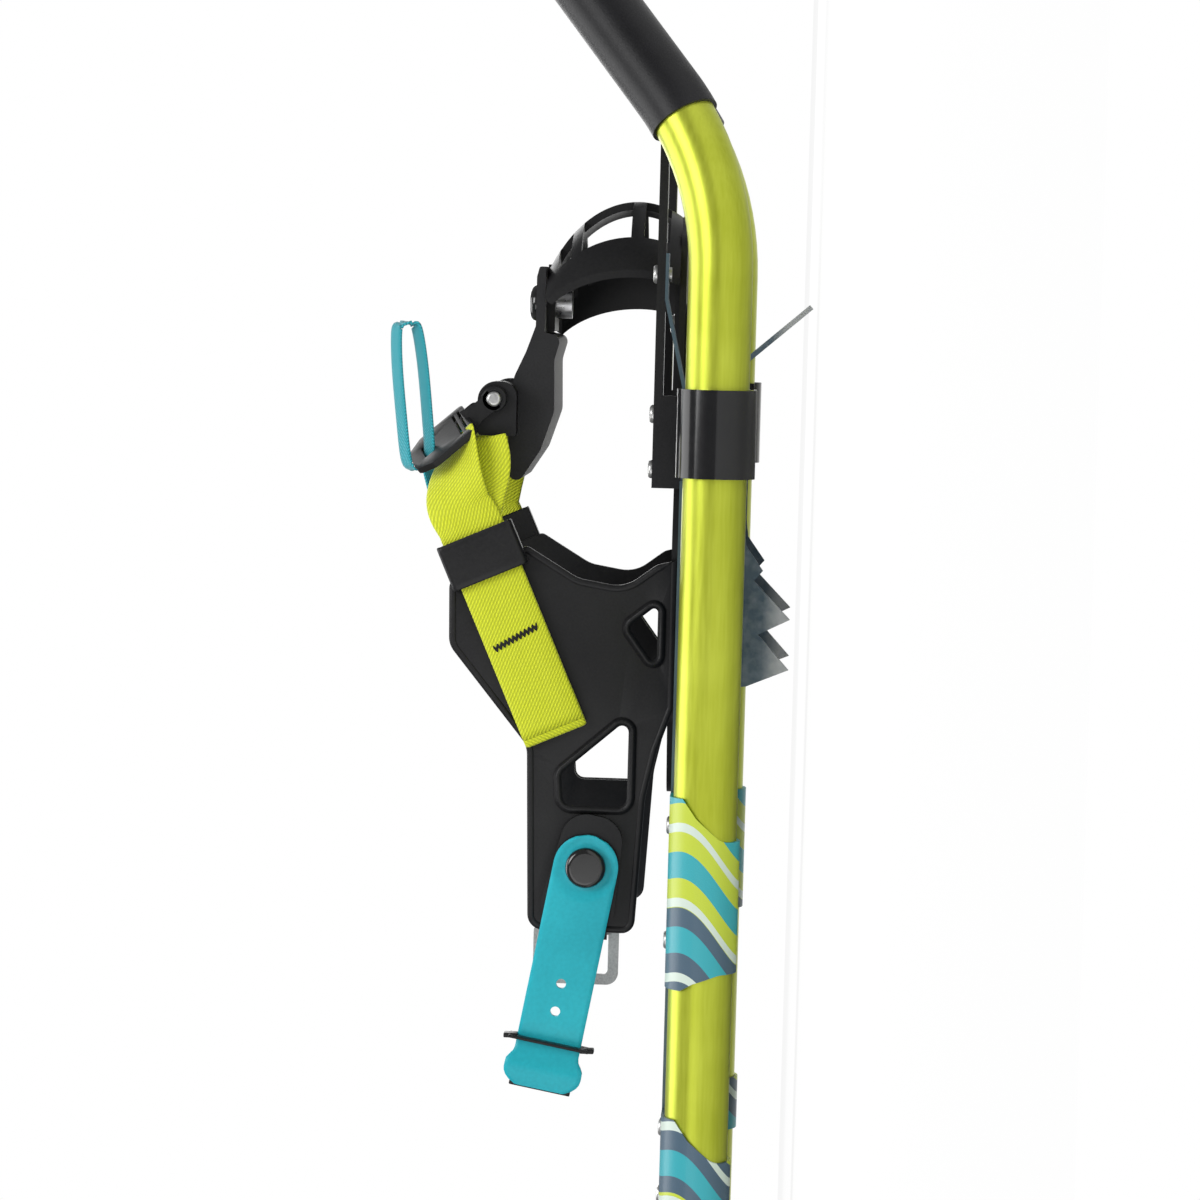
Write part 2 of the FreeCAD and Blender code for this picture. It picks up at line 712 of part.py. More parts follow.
pad(crampon, claw_sketch, "plate_thickness")

# ---- footbed: a moulded plate on the crampon's web that lands on the deck behind
boss_holes = [(x, s * wing_rivet_y, "rivet_shank") for x in wing_rivet_x for s in (-1, 1)]
boss_holes += [(x, s * cage_rivet_y, "rivet_shank") for x in cage_rivet_x for s in (-1, 1)]
footbed = body("footbed")
cage_half = cage_half_width - 2
footbed_half = [
    (cage_centre + cage_reach - 5, 10, 5),
    (cage_centre + cage_reach - 14, 30, 8),
    (cage_centre + 8, cage_half, 20),
    (-12, cage_half + 1, 20),
    (-40, footbed_half_width, 20),
    (-hole_back + 2, footbed_half_width, 12),
    (-footbed_back, 30, 14),
]
flat(footbed, [both(footbed_half)], "footbed_height", "footbed_thickness", boss_holes)
boss_half = [(48, 36, 8), (-crampon_back + 3, 36, 4)]
flat(
    footbed,
    [both(boss_half)],
    "web_height + plate_thickness",
    "footbed_height - web_height - plate_thickness",
    boss_holes,
)

# ---- side wings: flexible moulded flaps that close over the boot's sides
for name, side in SIDES.items():
    wing = body("side_wing_" + name)
    wing_edge = [
        (-50, footbed_height),
        (-52, 22, 6),
        (-61, 34, 14),
        (-58, 52, 14),
        (-46, 72, 3),
        (-60, 101.5, 5),
        (-85, 101, 9),
        (-123, 70, 10),
        (-194, 68, 6),
        (-194.5, 27, 5),
        (-142, 24, 30),
        (-124, 20, 12),
        (-107, footbed_height, 4),
    ]
    rear_window = [(-110, 30.5, 3), (-146, 30.5, 4), (-146, 56, 4), (-133, 57, 4)]
    front_window = [(-66, 20.5, 2), (-76, 33, 3), (-93, 20.5, 2)]
    shank_hole = [(-heel_rivet_back, heel_rivet_height, "6")]
    wing_loops = [wing_edge, rear_window, front_window]
    upright(wing, side, wing_loops, "footbed_half_width", "wing_thickness", shank_hole)
    foot = [
        (-54, side * (footbed_half_width + wing_thickness)),
        (-54, side * 24, 5),
        (-102, side * 24, 5),
        (-102, side * (footbed_half_width + wing_thickness)),
    ]
    holes = [(x, side * wing_rivet_y, "rivet_shank") for x in wing_rivet_x]
    flat(wing, [foot], "footbed_height + footbed_thickness", "2", holes)

# ---- toe cage: a windowed moulded hood over the boot's toe
cage_low = footbed_top
cage_middle = 34
cage_rise = 41
cage_side = cage_half_width - 5


def hood_section(y):
    """A closed crescent across the hood at one distance from its middle."""
    reach = cage_reach * math.sqrt(1 - (y / cage_half_width) ** 2)
    shift = cage_centre - cage_skew * y
    wires = []
    low = math.asin((cage_low - cage_middle) / cage_rise)
    top = math.radians(56)
    for gap in (0, cage_wall):
        points = []
        for i in range(9):
            angle = low + (top - low) * i / 8
            x = shift + (reach - gap) * math.cos(angle)
            z = cage_middle + (cage_rise - gap) * math.sin(angle)
            if i == 0:
                z = cage_low
            points.append(Vector(x, y, z))
        wires.append(points)
    outer, inner = wires
    outer_curve = Part.BSplineCurve()
    outer_curve.interpolate(outer)
    inner_curve = Part.BSplineCurve()
    inner_curve.interpolate(inner)
    return Part.Wire(
        [
            outer_curve.toShape(),
            line(outer[-1], inner[-1]),
            inner_curve.toShape(),
            line(inner[0], outer[0]),
        ]
    )


stations = [-1, -0.8, -0.4, 0, 0.4, 0.8, 1]
hood = Part.makeLoft([hood_section(cage_side * s) for s in stations], True, False)
stud_x = 47
tab_low = 65.5
tab_high = 68.5
rib = 7
cage = hood
for low, high in ((21, 31), (36, 55), (59, 64)):
    for side in (-1, 1):
        window = Part.makeBox(80, cage_side - 2 * rib, high - low)
        window.translate(Vector(20, side * cage_side / 2 - (cage_side - 2 * rib) / 2, low))
        cage = cage.cut(window)
floor = Part.makeBox(84, 2 * (cage_rivet_y + 5), 2, Vector(-10, -cage_rivet_y - 5, footbed_top))
tab = Part.makeBox(26, 28, tab_high - tab_low, Vector(36, -14, tab_low))
cage = cage.fuse(floor).fuse(tab)
for x in cage_rivet_x:
    for side in (-1, 1):
        cage = cage.cut(Part.makeCylinder(rivet_shank / 2, 8, Vector(x, side * cage_rivet_y, footbed_top - 3)))
cage = cage.cut(Part.makeCylinder(3, 12, Vector(stud_x, 0, tab_low - 4)))
drawn("toe_cage", cage.removeSplitter())

# ---- rivets through wings, hood, footbed and crampon
base_rivets = []
for side in (-1, 1):
    for x in wing_rivet_x:
        foot = Vector(x, side * wing_rivet_y, web_height)
        base_rivets.append(rivet(foot, up, rivet_shank, footbed_top + 2 - web_height, rivet_head, 1.6, 1.2))
    for x in cage_rivet_x:
        bottom = web_height if x < web_front else web_top
        foot = Vector(x, side * cage_rivet_y, bottom)
        base_rivets.append(rivet(foot, up, rivet_shank, footbed_top + 2 - bottom, rivet_head, 1.6, 1.2))
drawn("base_rivets", Part.makeCompound(base_rivets))

# ---- instep plate: a moulded pad across the laces, buttoned to the hood
bar_high = tab_high + 3.5
instep = body("instep_plate")
instep_profile = [
    (61, tab_high),
    (61, tab_high + 2.5, 1),
    (57, bar_high, 1),
    (38, bar_high, 3),
    (28, 75.5, 8),
    (18, 80, 8),
    (-18, 82.5, 6),
    (-24, 78, 3),
    (-10, 69, 8),
    (5, 64, 8),
    (25, 64.5, 8),
    (34, 62, 3),
    (35.5, tab_high, 1),
]
upright(instep, 1, [instep_profile], "0 - instep_half_width", "2 * instep_half_width")
button_bore = sketch_on(instep, "XY_Plane", [], [(stud_x, 0, "6")])
button_bore.AttachmentOffset = Placement(Vector(0, 0, 90), Rotation())
bored = instep.newObject("PartDesign::Pocket", "button_bore")
bored.Profile = button_bore
bored.Length = 30
stud = Part.makeCylinder(6, tab_low - 59.5, Vector(stud_x, 0, 59.5))
stud = stud.fuse(Part.makeCylinder(3, bar_high - 59.5, Vector(stud_x, 0, 59.5)))
drawn("instep_stud", stud.removeSplitter())
drawn("instep_button", rounded_head(7.2, 4.2, Vector(stud_x, 0, bar_high), up))

# ---- strap lugs, pivoting buckles and their rivets
lug_x = 9.7
lug_z = 86.5
lug_width = 11
lever_angle = math.atan2(29.5, -25.7)
lever_reach = 40
lever_start = 12
lug_face = instep_half_width + lug_width
ear_inner = lug_face + 0.3
ear_thickness = 2.5
tilt = 25
for name, side in SIDES.items():
    lug = body("strap_lug_" + name)
    block = [(16.5, 78, 6), (16.5, 93, 7.4), (-4.5, 93, 2), (-4.5, 78, 1)]
    upright(lug, side, [block], "instep_half_width", "11", [(lug_x, lug_z, "4")])
    pin_foot = Vector(lug_x, side * (lug_face - 9), lug_z)
    over = Vector(0, side, 0)
    drawn("lug_rivet_" + name, rivet(pin_foot, over, 4, 9.5 + ear_thickness, 5.8, 1.8, 0))
    ear = Part.makeCylinder(5, ear_thickness, Vector(lug_x, side * ear_inner, lug_z), Vector(0, side, 0))
    along = Vector(math.cos(lever_angle), 0, math.sin(lever_angle))
    neck = Part.makeBox(lever_start + 1, 7, ear_thickness, Vector(0, -3.5, 0))
    neck_low = side * ear_inner + (0 if side > 0 else -ear_thickness)
    neck_turn = Rotation(along, Vector(0, 0, 0), Vector(0, 1, 0), "ZXY")
    neck = moved(neck, Placement(Vector(lug_x, neck_low, lug_z), neck_turn))
    lever_length = lever_reach - lever_start
    lever = Part.makeBox(lever_length, 26, 3, Vector(0, -13, -1.5))
    for low, high, slot_half in ((3, 6, 10.5), (10, 13, 10.5), (16, 24.3, 5.5)):
        lever = lever.cut(Part.makeBox(high - low, 2 * slot_half, 6, Vector(low, -slot_half, -3)))
    normal = Vector(along.z, 0, -along.x)
    wide = over * math.cos(math.radians(tilt)) - normal * (math.sin(math.radians(tilt)))
    lever_foot = Vector(lug_x, side * (ear_inner + ear_thickness / 2), lug_z) + along * lever_start
    lever = moved(lever, Placement(lever_foot, Rotation(along, wide, Vector(0, 0, 0), "XYZ")))
    frame_plate = ear.fuse(neck).fuse(lever)
    bore = Part.makeCylinder(2 + running_fit, 9, Vector(lug_x, side * (ear_inner - 3), lug_z), over)
    drawn("ladder_buckle_" + name, frame_plate.cut(bore).removeSplitter())

# ---- pull loops: narrow webbing loops through the buckles' end slots
half_gap = 4.4
for name, side in SIDES.items():
    along = Vector(math.cos(lever_angle), 0, math.sin(lever_angle))
    end_bar = Vector(lug_x, 0, lug_z) + along * (lever_start + 26)
    y_low = side * (ear_inner + ear_thickness / 2) - 3.5
    reach = Vector(54, 0, 6) if side < 0 else Vector(-44, 0, -13)
    outer = Part.makeBox(reach.Length + 4.6, 7, 2 * half_gap + 2.4, Vector(-4.6, 0, -half_gap - 1.2))
    inner = Part.makeBox(reach.Length + 2.2, 7, 2 * half_gap, Vector(-3.4, 0, -half_gap))
    turn = Rotation(Vector(1, 0, 0), reach)
    loop = moved(outer.cut(inner), Placement(end_bar + Vector(0, y_low, 0), turn))
    drawn("pull_loop_" + name, loop)

# ---- webbing: woven straps from the wings through the keepers to the buckles
keeper_x = -50
keeper_z = 88.7
tail_slope = math.atan2(29.3, 66.7)
tail_way = Vector(-math.cos(tail_slope), 0, -math.sin(tail_slope))
tail_up = Vector(-math.sin(tail_slope), 0, math.cos(tail_slope))
half_strap = strap_width / 2
wing_outer = footbed_half_width + wing_thickness
for name, side in SIDES.items():
    webbing = body("webbing_" + name)
    middle = Vector(keeper_x, 0, keeper_z)
    low_end = middle + tail_way * 60
    far_end = middle + tail_way * 73
    ahead = middle - tail_way * 11
    lower = [low_end - tail_up * half_strap, ahead - tail_up * half_strap]
    upper = [ahead + tail_up * half_strap, low_end + tail_up * half_strap]
    first = [(p.x, p.z) for p in lower] + [(-7, 81), (-7, 92), (-21, 98)] + [(p.x, p.z) for p in upper]
    upright(webbing, side, [first], "footbed_half_width + wing_thickness + 1.5", "webbing_thickness")
    lower = [far_end - tail_up * half_strap, ahead - tail_up * half_strap]
    upper = [ahead + tail_up * half_strap, far_end + tail_up * half_strap]
    second = [(p.x, p.z) for p in lower] + [(-22, 86), (-22, 101)] + [(p.x, p.z) for p in upper]
    upright(
        webbing,
        side,
        [second],
        "footbed_half_width + wing_thickness + 1.5 + webbing_thickness",
        "webbing_thickness",
    )
    sleeve = Part.makeBox(18, 2 * half_strap + 6, 7.2, Vector(-9, -half_strap - 3, 0))
    passage = Part.makeBox(20, 2 * half_strap + 1.6, 4.4, Vector(-10, -half_strap - 0.8, 1.2))
    keeper_turn = Rotation(tail_way, Vector(0, 0, 0), Vector(0, side, 0), "ZXY")
    keeper_seat = Placement(Vector(keeper_x, side * wing_outer, keeper_z), keeper_turn)
    drawn("webbing_keeper_" + name, moved(sleeve.cut(passage), keeper_seat))

# ---- heel strap: a moulded strap that swings on a button rivet, on the right
heel_x = -heel_rivet_back
heel_z = heel_rivet_height
pad_thickness = 2.7
strap_inner = wing_outer + pad_thickness + 0.3
strap_outer = strap_inner + heel_strap_thickness
lean = math.radians(10.3)
way = Vector(-math.cos(lean), 0, math.sin(lean))
wide = Vector(math.sin(lean), 0, math.cos(lean))


def along_strap(distance, aside):
    point = Vector(heel_x, 0, heel_z) + way * distance + wide * aside
    return (point.x, point.z)


pad_piece = body("heel_pad_right")
pad_outline = [
    along_strap(-20, -11) + (10,),
    along_strap(-20, 11) + (10,),
    along_strap(24, 15) + (8,),
    along_strap(24, -15) + (8,),
]
upright(pad_piece, -1, [pad_outline], "footbed_half_width + wing_thickness", "2.7", [(heel_x, heel_z, "6")])
heel_strap = body("heel_strap")
strap_end = 88
lip_start = 76
lip_half = half_strap + 2.8
strap_outline = [
    along_strap(-half_strap, -half_strap) + (half_strap - 0.1,),
    along_strap(-half_strap, half_strap) + (half_strap - 0.1,),
    along_strap(lip_start, half_strap),
    along_strap(lip_start, lip_half) + (3,),
    along_strap(strap_end, lip_half) + (8,),
    along_strap(strap_end, -lip_half) + (8,),
    along_strap(lip_start, -lip_half) + (3,),
    along_strap(lip_start, -half_strap),
]
strap_holes = [(heel_x, heel_z, "6 + 2 * running_fit")]
strap_holes += [along_strap(d, 0) + ("3.6",) for d in (46, 57)]
upright(
    heel_strap,
    -1,
    [strap_outline],
    "footbed_half_width + wing_thickness + 2.7 + 0.3",
    "heel_strap_thickness",
    strap_holes,
)
button_low = strap_outer + 0.2
outward = Vector(0, -1, 0)
button = rounded_head(button_diameter / 2, 3, Vector(heel_x, -button_low, heel_z), outward)
shank = Part.makeCylinder(3, button_low - footbed_half_width, Vector(heel_x, -footbed_half_width, heel_z), outward)
inner_head = Part.makeCylinder(6, 1.2, Vector(heel_x, -footbed_half_width + 1.2, heel_z), outward)
drawn("heel_button_rivet", button.fuse(shank).fuse(inner_head).removeSplitter())

# ---- strap keeper: a moulded slider near the heel strap's free end
keeper_start = 69
ring_depth = heel_strap_thickness + 2 * 0.3
ring_half = half_strap + 3.4
slider = Part.makeBox(6, 2 * ring_half, ring_depth + 2.4, Vector(0, -ring_half, -ring_depth / 2 - 1.2))
passage = Part.makeBox(8, strap_width + 1.2, ring_depth, Vector(-1, -half_strap - 0.6, -ring_depth / 2))
hook = Part.makeBox(20, 2 * ring_half - 8, 1.2, Vector(0, 4 - ring_half, ring_depth / 2))
slider = slider.cut(passage).fuse(hook).removeSplitter()
centre = along_strap(keeper_start, 0)
keeper_seat = Vector(centre[0], -(strap_inner + strap_outer) / 2, centre[1])
drawn("strap_keeper", moved(slider, Placement(keeper_seat, Rotation(way, wide, Vector(0, 0, 0), "XYZ"))))

# ---- heel buckle: a wire frame and tongue on a strap tab, on the left
tab_z = 54
tab_half = 12.5
bar_x = -209
bar_y = wing_outer + 3.6
wire_radius = buckle_wire / 2
eye_radius = wire_radius + running_fit + 2
tab = body("heel_tab_left")
tab_outline = [
    (-152, tab_z - tab_half, 8),
    (-152, tab_z + tab_half, 8),
    (bar_x + 3, tab_z + tab_half),
    (bar_x + 3, tab_z - tab_half),
]
upright(
    tab,
    1,
    [tab_outline],
    "footbed_half_width + wing_thickness",
    "2.5",
    [(heel_x, heel_z, "6")],
)
eye_sketch = sketch_on(tab, "XY_Plane", [], [])
bind(eye_sketch, "AttachmentOffset.Base.z", str(tab_z - tab_half))
eye_centre = Vector(bar_x, bar_y, 0)
eye_sketch.addGeometry(Part.Circle(eye_centre, Vector(0, 0, 1), eye_radius), False)
pad(tab, eye_sketch, str(2 * tab_half))
bore_sketch = sketch_on(tab, "XY_Plane", [], [(bar_x, bar_y, "buckle_wire + 2 * running_fit")])
bind(bore_sketch, "AttachmentOffset.Base.z", str(tab_z + tab_half + 1))
eye_bore = tab.newObject("PartDesign::Pocket", "eye_bore")
eye_bore.Profile = bore_sketch
eye_bore.Length = 2 * tab_half + 2
gap_outline = [
    (bar_x + eye_radius + 2.2, bar_y - 5),
    (bar_x + eye_radius + 2.2, bar_y + 5),
    (bar_x - eye_radius - 1, bar_y + 5),
    (bar_x - eye_radius - 1, bar_y - 5),
]
gap_sketch = sketch_on(tab, "XY_Plane", [gap_outline], [])
bind(gap_sketch, "AttachmentOffset.Base.z", str(tab_z + 3))
gap = tab.newObject("PartDesign::Pocket", "tongue_gap")
gap.Profile = gap_sketch
gap.Length = 6
tab_rivet = Part.makeCylinder(3, 2.5 + wing_thickness, Vector(heel_x, footbed_half_width, heel_z), Vector(0, 1, 0))

arm_gap = tab_half + 0.7
bar_width = 4.3
frame_half = arm_gap + bar_width
frame_back = 22
plate_loop = [
    (bar_x + wire_radius, tab_z + arm_gap),
    (bar_x + wire_radius, tab_z + frame_half, 2),
    (bar_x - frame_back, tab_z + frame_half, 5),
    (bar_x - frame_back, tab_z - frame_half, 5),
    (bar_x + wire_radius, tab_z - frame_half, 2),
    (bar_x + wire_radius, tab_z - arm_gap),
    (bar_x - frame_back + bar_width, tab_z - arm_gap, 2),
    (bar_x - frame_back + bar_width, tab_z + arm_gap, 2),
]
stamped = body("buckle_plate")
upright(stamped, 1, [plate_loop], str(bar_y - 1), "2")
doc.recompute()
hinge_bar = Part.makeCylinder(wire_radius, 2 * arm_gap + 2, Vector(bar_x, bar_y, tab_z - arm_gap - 1))
plate_shape = stamped.Shape.copy()
plate_shape.translate(-stamped.Placement.Base)
doc.removeObject(stamped.Name)
drawn("heel_buckle_frame", plate_shape.fuse(hinge_bar).removeSplitter())
tongue_eye = Part.makeCylinder(wire_radius + running_fit + 1.4, 4, Vector(bar_x, bar_y, tab_z - 2))
tongue_bar = Part.makeBox(frame_back + 3, 2, 2.6, Vector(bar_x - frame_back - 3, bar_y + wire_radius + 0.3, tab_z - 1.3))
tongue = tongue_eye.fuse(tongue_bar)
tongue = tongue.cut(Part.makeCylinder(wire_radius + running_fit, 6, Vector(bar_x, bar_y, tab_z - 3)))
drawn("heel_buckle_tongue", tongue.removeSplitter())
tab_rivet_head = Part.makeCylinder(4.6, 1.6, Vector(heel_x, wing_outer + 2.5, heel_z), Vector(0, 1, 0))
tab_rivet_back = Part.makeCylinder(5, 1.2, Vector(heel_x, footbed_half_width - 1.2, heel_z), Vector(0, 1, 0))
drawn("heel_tab_rivet", tab_rivet.fuse(tab_rivet_head).fuse(tab_rivet_back).removeSplitter())

# ---- write one file for each piece
doc.recompute()
PIECES = [
    o
    for o in doc.Objects
    if o.TypeId in ("PartDesign::Body", "Part::Feature", "Part::Cut", "Part::Cylinder")
    and not o.InList
]
faults = []
for thing in doc.Objects:
    if "Invalid" in thing.State or "Error" in thing.State:
        faults.append(thing.Label)
for piece in PIECES:
    if piece.Shape.isNull() or not piece.Shape.isValid():
        faults.append(piece.Label + " shape")
if faults:
    raise SystemExit("failed: " + ", ".join(faults))
for piece in PIECES:
    piece.Shape.exportStep("parts/%s.step" % piece.Label)
    box = piece.Shape.BoundBox
    print(
        "%-24s %d solids  %9.1f mm3  x %.1f..%.1f  y %.1f..%.1f  z %.1f..%.1f"
        % (
            piece.Label,
            len(piece.Shape.Solids),
            piece.Shape.Volume,
            box.XMin,
            box.XMax,
            box.YMin,
            box.YMax,
            box.ZMin,
            box.ZMax,
        )
    )
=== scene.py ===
import bmesh
import bpy
import math
from mathutils import Matrix, Vector


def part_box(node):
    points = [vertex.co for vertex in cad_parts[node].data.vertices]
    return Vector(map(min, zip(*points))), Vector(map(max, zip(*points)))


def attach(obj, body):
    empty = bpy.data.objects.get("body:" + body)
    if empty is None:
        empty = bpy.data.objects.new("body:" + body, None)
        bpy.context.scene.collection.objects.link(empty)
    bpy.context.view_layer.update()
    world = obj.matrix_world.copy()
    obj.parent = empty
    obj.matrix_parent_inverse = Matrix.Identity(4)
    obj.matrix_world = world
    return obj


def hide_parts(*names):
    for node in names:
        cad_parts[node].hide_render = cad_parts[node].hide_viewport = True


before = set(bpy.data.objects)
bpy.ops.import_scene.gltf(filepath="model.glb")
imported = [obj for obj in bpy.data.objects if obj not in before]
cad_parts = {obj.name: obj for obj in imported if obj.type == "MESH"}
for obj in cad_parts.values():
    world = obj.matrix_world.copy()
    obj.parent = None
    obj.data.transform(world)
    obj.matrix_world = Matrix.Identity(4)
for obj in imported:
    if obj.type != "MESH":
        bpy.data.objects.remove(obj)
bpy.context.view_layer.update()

# Camera, lamps and the pale floor that the snowshoe is set out on.
# The shoe is looked at from its right side, a little over its own length away,
# with its toe upwards in the frame.
axle_low, axle_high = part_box("pivot_axle")
AXLE = (axle_low + axle_high) / 2
MM = 0.001


def at(x, y, z):
    """A place given in millimetres from the middle of the pivot axle."""
    return AXLE + Vector((x, y, z)) * MM


camera_data = bpy.data.cameras.new("Camera")
camera_data.sensor_width = 36
camera_data.lens = 128.7
camera_data.clip_end = 20
camera = bpy.data.objects.new("Camera", camera_data)
bpy.context.scene.collection.objects.link(camera)
bpy.context.scene.camera = camera
roll = math.radians(1.55)
camera_up = Vector((math.cos(roll), 0, math.sin(roll)))
camera_right = Vector((math.sin(roll), 0, -math.cos(roll)))
aim = Vector((0, 1, 0)) - camera_right * (200 / 4290) - camera_up * (290 / 4290)
camera.rotation_mode = "QUATERNION"
back = -aim.normalized()
right = camera_up.cross(back).normalized()
up = back.cross(right).normalized()
camera.rotation_quaternion = Matrix((right, up, back)).transposed().to_quaternion()
camera.location = at(46.8, -1689, -30)

for lamp_name, place, size, power in (
    ("key", (500, -1300, 1500), 1.0, 21),
    ("fill", (-900, -1500, 300), 1.2, 8),
    ("over", (-200, 300, 1600), 1.2, 15),
    ("behind", (300, 1500, 700), 1.2, 12),
):
    lamp_data = bpy.data.lights.new(lamp_name, "AREA")
    lamp_data.size = size
    lamp_data.energy = power
    lamp = bpy.data.objects.new(lamp_name, lamp_data)
    bpy.context.scene.collection.objects.link(lamp)
    lamp.location = at(*place)
    lamp.rotation_euler = (at(0, 0, 20) - lamp.location).to_track_quat("-Z", "Y").to_euler()

world = bpy.data.worlds.new("Studio")
bpy.context.scene.world = world
world.use_nodes = True
air = world.node_tree
soft_light = air.nodes["Background"]
soft_light.inputs["Color"].default_value = (1, 1, 1, 1)
soft_light.inputs["Strength"].default_value = 0.26
white = air.nodes.new("ShaderNodeBackground")
white.inputs["Color"].default_value = (1, 1, 1, 1)
white.inputs["Strength"].default_value = 1.0
seen = air.nodes.new("ShaderNodeMixShader")
ray = air.nodes.new("ShaderNodeLightPath")
air.links.new(ray.outputs["Is Camera Ray"], seen.inputs["Fac"])
air.links.new(soft_light.outputs["Background"], seen.inputs[1])
air.links.new(white.outputs["Background"], seen.inputs[2])
air.links.new(seen.outputs["Shader"], air.nodes["World Output"].inputs["Surface"])
bpy.context.scene.view_settings.view_transform = "Standard"


def mesh_piece(name, points, faces, smooth=True):
    """A mesh from its points, in metres, and its faces."""
    mesh = bpy.data.meshes.new(name)
    mesh.from_pydata([tuple(p) for p in points], [], faces)
    mesh.update()
    for face in mesh.polygons:
        face.use_smooth = smooth
    piece = bpy.data.objects.new(name, mesh)
    bpy.context.scene.collection.objects.link(piece)
    return piece


def plain_finish(name, colour, rough, metal=0.0):
    """A material with its shader's own colour, roughness and metal set."""
    made = bpy.data.materials.new(name)
    made.use_nodes = True
    shader = made.node_tree.nodes["Principled BSDF"]
    shader.inputs["Base Color"].default_value = (*colour, 1)
    shader.inputs["Roughness"].default_value = rough
    shader.inputs["Metallic"].default_value = metal
    return made, shader


floor_half = 6.0
floor = mesh_piece(
    "floor",
    [(x * floor_half, y * floor_half, -0.002) for x, y in ((-1, -1), (1, -1), (1, 1), (-1, 1))],
    [(0, 1, 2, 3)],
)
floor_finish, floor_shader = plain_finish("floor", (0.86, 0.86, 0.86), 0.9)
grain = floor_finish.node_tree.nodes.new("ShaderNodeTexNoise")
grain.inputs["Scale"].default_value = 3
tone = floor_finish.node_tree.nodes.new("ShaderNodeMapRange")
tone.inputs["To Min"].default_value = 0.84
tone.inputs["To Max"].default_value = 0.88
floor_finish.node_tree.links.new(grain.outputs["Fac"], tone.inputs["Value"])
floor_finish.node_tree.links.new(tone.outputs["Result"], floor_shader.inputs["Base Color"])
floor_tree = floor_finish.node_tree
floor_white = floor_tree.nodes.new("ShaderNodeEmission")
floor_white.inputs["Color"].default_value = (1, 1, 1, 1)
floor_white.inputs["Strength"].default_value = 1.0
floor_ray = floor_tree.nodes.new("ShaderNodeLightPath")
shown = floor_tree.nodes.new("ShaderNodeMath")
shown.operation = "MULTIPLY"
shown.inputs[1].default_value = 0.9
floor_mix = floor_tree.nodes.new("ShaderNodeMixShader")
floor_tree.links.new(floor_ray.outputs["Is Camera Ray"], shown.inputs[0])
floor_tree.links.new(shown.outputs[0], floor_mix.inputs["Fac"])
floor_tree.links.new(floor_shader.outputs["BSDF"], floor_mix.inputs[1])
floor_tree.links.new(floor_white.outputs["Emission"], floor_mix.inputs[2])
floor_tree.links.new(floor_mix.outputs["Shader"], floor_tree.nodes["Material Output"].inputs["Surface"])
floor.data.materials.append(floor_finish)

# Frame tube: one aluminium tube, bent round the tail and up into the toe.
# It is brushed along its length and anodised lime, with a satin sheen.


def noise(tree, scale, detail=3.0, stretch=None, space="Object"):
    """Noise over the object's own space, stretched by a scale for each axis."""
    where = tree.nodes.new("ShaderNodeTexCoord")
    source = where.outputs[space]
    if stretch is not None:
        mapping = tree.nodes.new("ShaderNodeMapping")
        mapping.inputs["Scale"].default_value = stretch
        tree.links.new(source, mapping.inputs["Vector"])
        source = mapping.outputs["Vector"]
    texture = tree.nodes.new("ShaderNodeTexNoise")
    texture.inputs["Scale"].default_value = scale
    texture.inputs["Detail"].default_value = detail
    tree.links.new(source, texture.inputs["Vector"])
    return texture.outputs["Fac"]


def ramp(tree, value, stops):
    """A value turned into a colour by its stops."""
    node = tree.nodes.new("ShaderNodeValToRGB")
    elements = node.color_ramp.elements
    while len(elements) < len(stops):
        elements.new(0.5)
    for element, (place, colour) in zip(elements, stops):
        element.position = place
        element.color = (*colour, 1)
    tree.links.new(value, node.inputs["Fac"])
    return node.outputs["Color"]


def spread(tree, value, low, high):
    """A value from 0 to 1 spread from low to high."""
    node = tree.nodes.new("ShaderNodeMapRange")
    node.inputs["To Min"].default_value = low
    node.inputs["To Max"].default_value = high
    tree.links.new(value, node.inputs["Value"])
    return node.outputs["Result"]


def bump(tree, shader, value, depth, strength=0.5):
    """Fine relief, its depth in metres."""
    node = tree.nodes.new("ShaderNodeBump")
    node.inputs["Strength"].default_value = strength
    node.inputs["Distance"].default_value = depth
    tree.links.new(value, node.inputs["Height"])
    tree.links.new(node.outputs["Normal"], shader.inputs["Normal"])


def dress(node_name, finish):
    """Give a carried-over piece its finish."""
    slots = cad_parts[node_name].data.materials
    if len(slots) == 0:
        slots.append(finish)
    for i in range(len(slots)):
        slots[i] = finish


def grained(name, dark, light, rough, scale, depth, metal=0.0, stretch=None, coat=0.0, swing=0.08):
    """A finish whose tone, roughness and relief follow one fine grain."""
    made, shader = plain_finish(name, light, rough, metal)
    tree = made.node_tree
    fine = noise(tree, scale, 4, stretch)
    broad = noise(tree, 35, 2)
    both = tree.nodes.new("ShaderNodeMath")
    both.operation = "MULTIPLY_ADD"
    both.inputs[1].default_value = 0.6
    tree.links.new(broad, both.inputs[0])
    tree.links.new(spread(tree, fine, 0.0, 0.4), both.inputs[2])
    tree.links.new(ramp(tree, both.outputs[0], [(0.3, dark), (0.7, light)]), shader.inputs["Base Color"])
    tree.links.new(spread(tree, fine, rough - swing, rough + swing), shader.inputs["Roughness"])
    bump(tree, shader, fine, depth, 0.4)
    shader.inputs["Specular IOR Level"].default_value = 0.24 if metal == 0 else 0.5
    shader.inputs["Coat Weight"].default_value = coat
    shader.inputs["Coat Roughness"].default_value = 0.12
    return made


lime_tube = grained(
    "lime_tube", (0.39, 0.44, 0.022), (0.52, 0.58, 0.055), 0.33, 900, 0.00002, 0.62, (0.06, 1, 1)
)
dress("frame_tube", lime_tube)

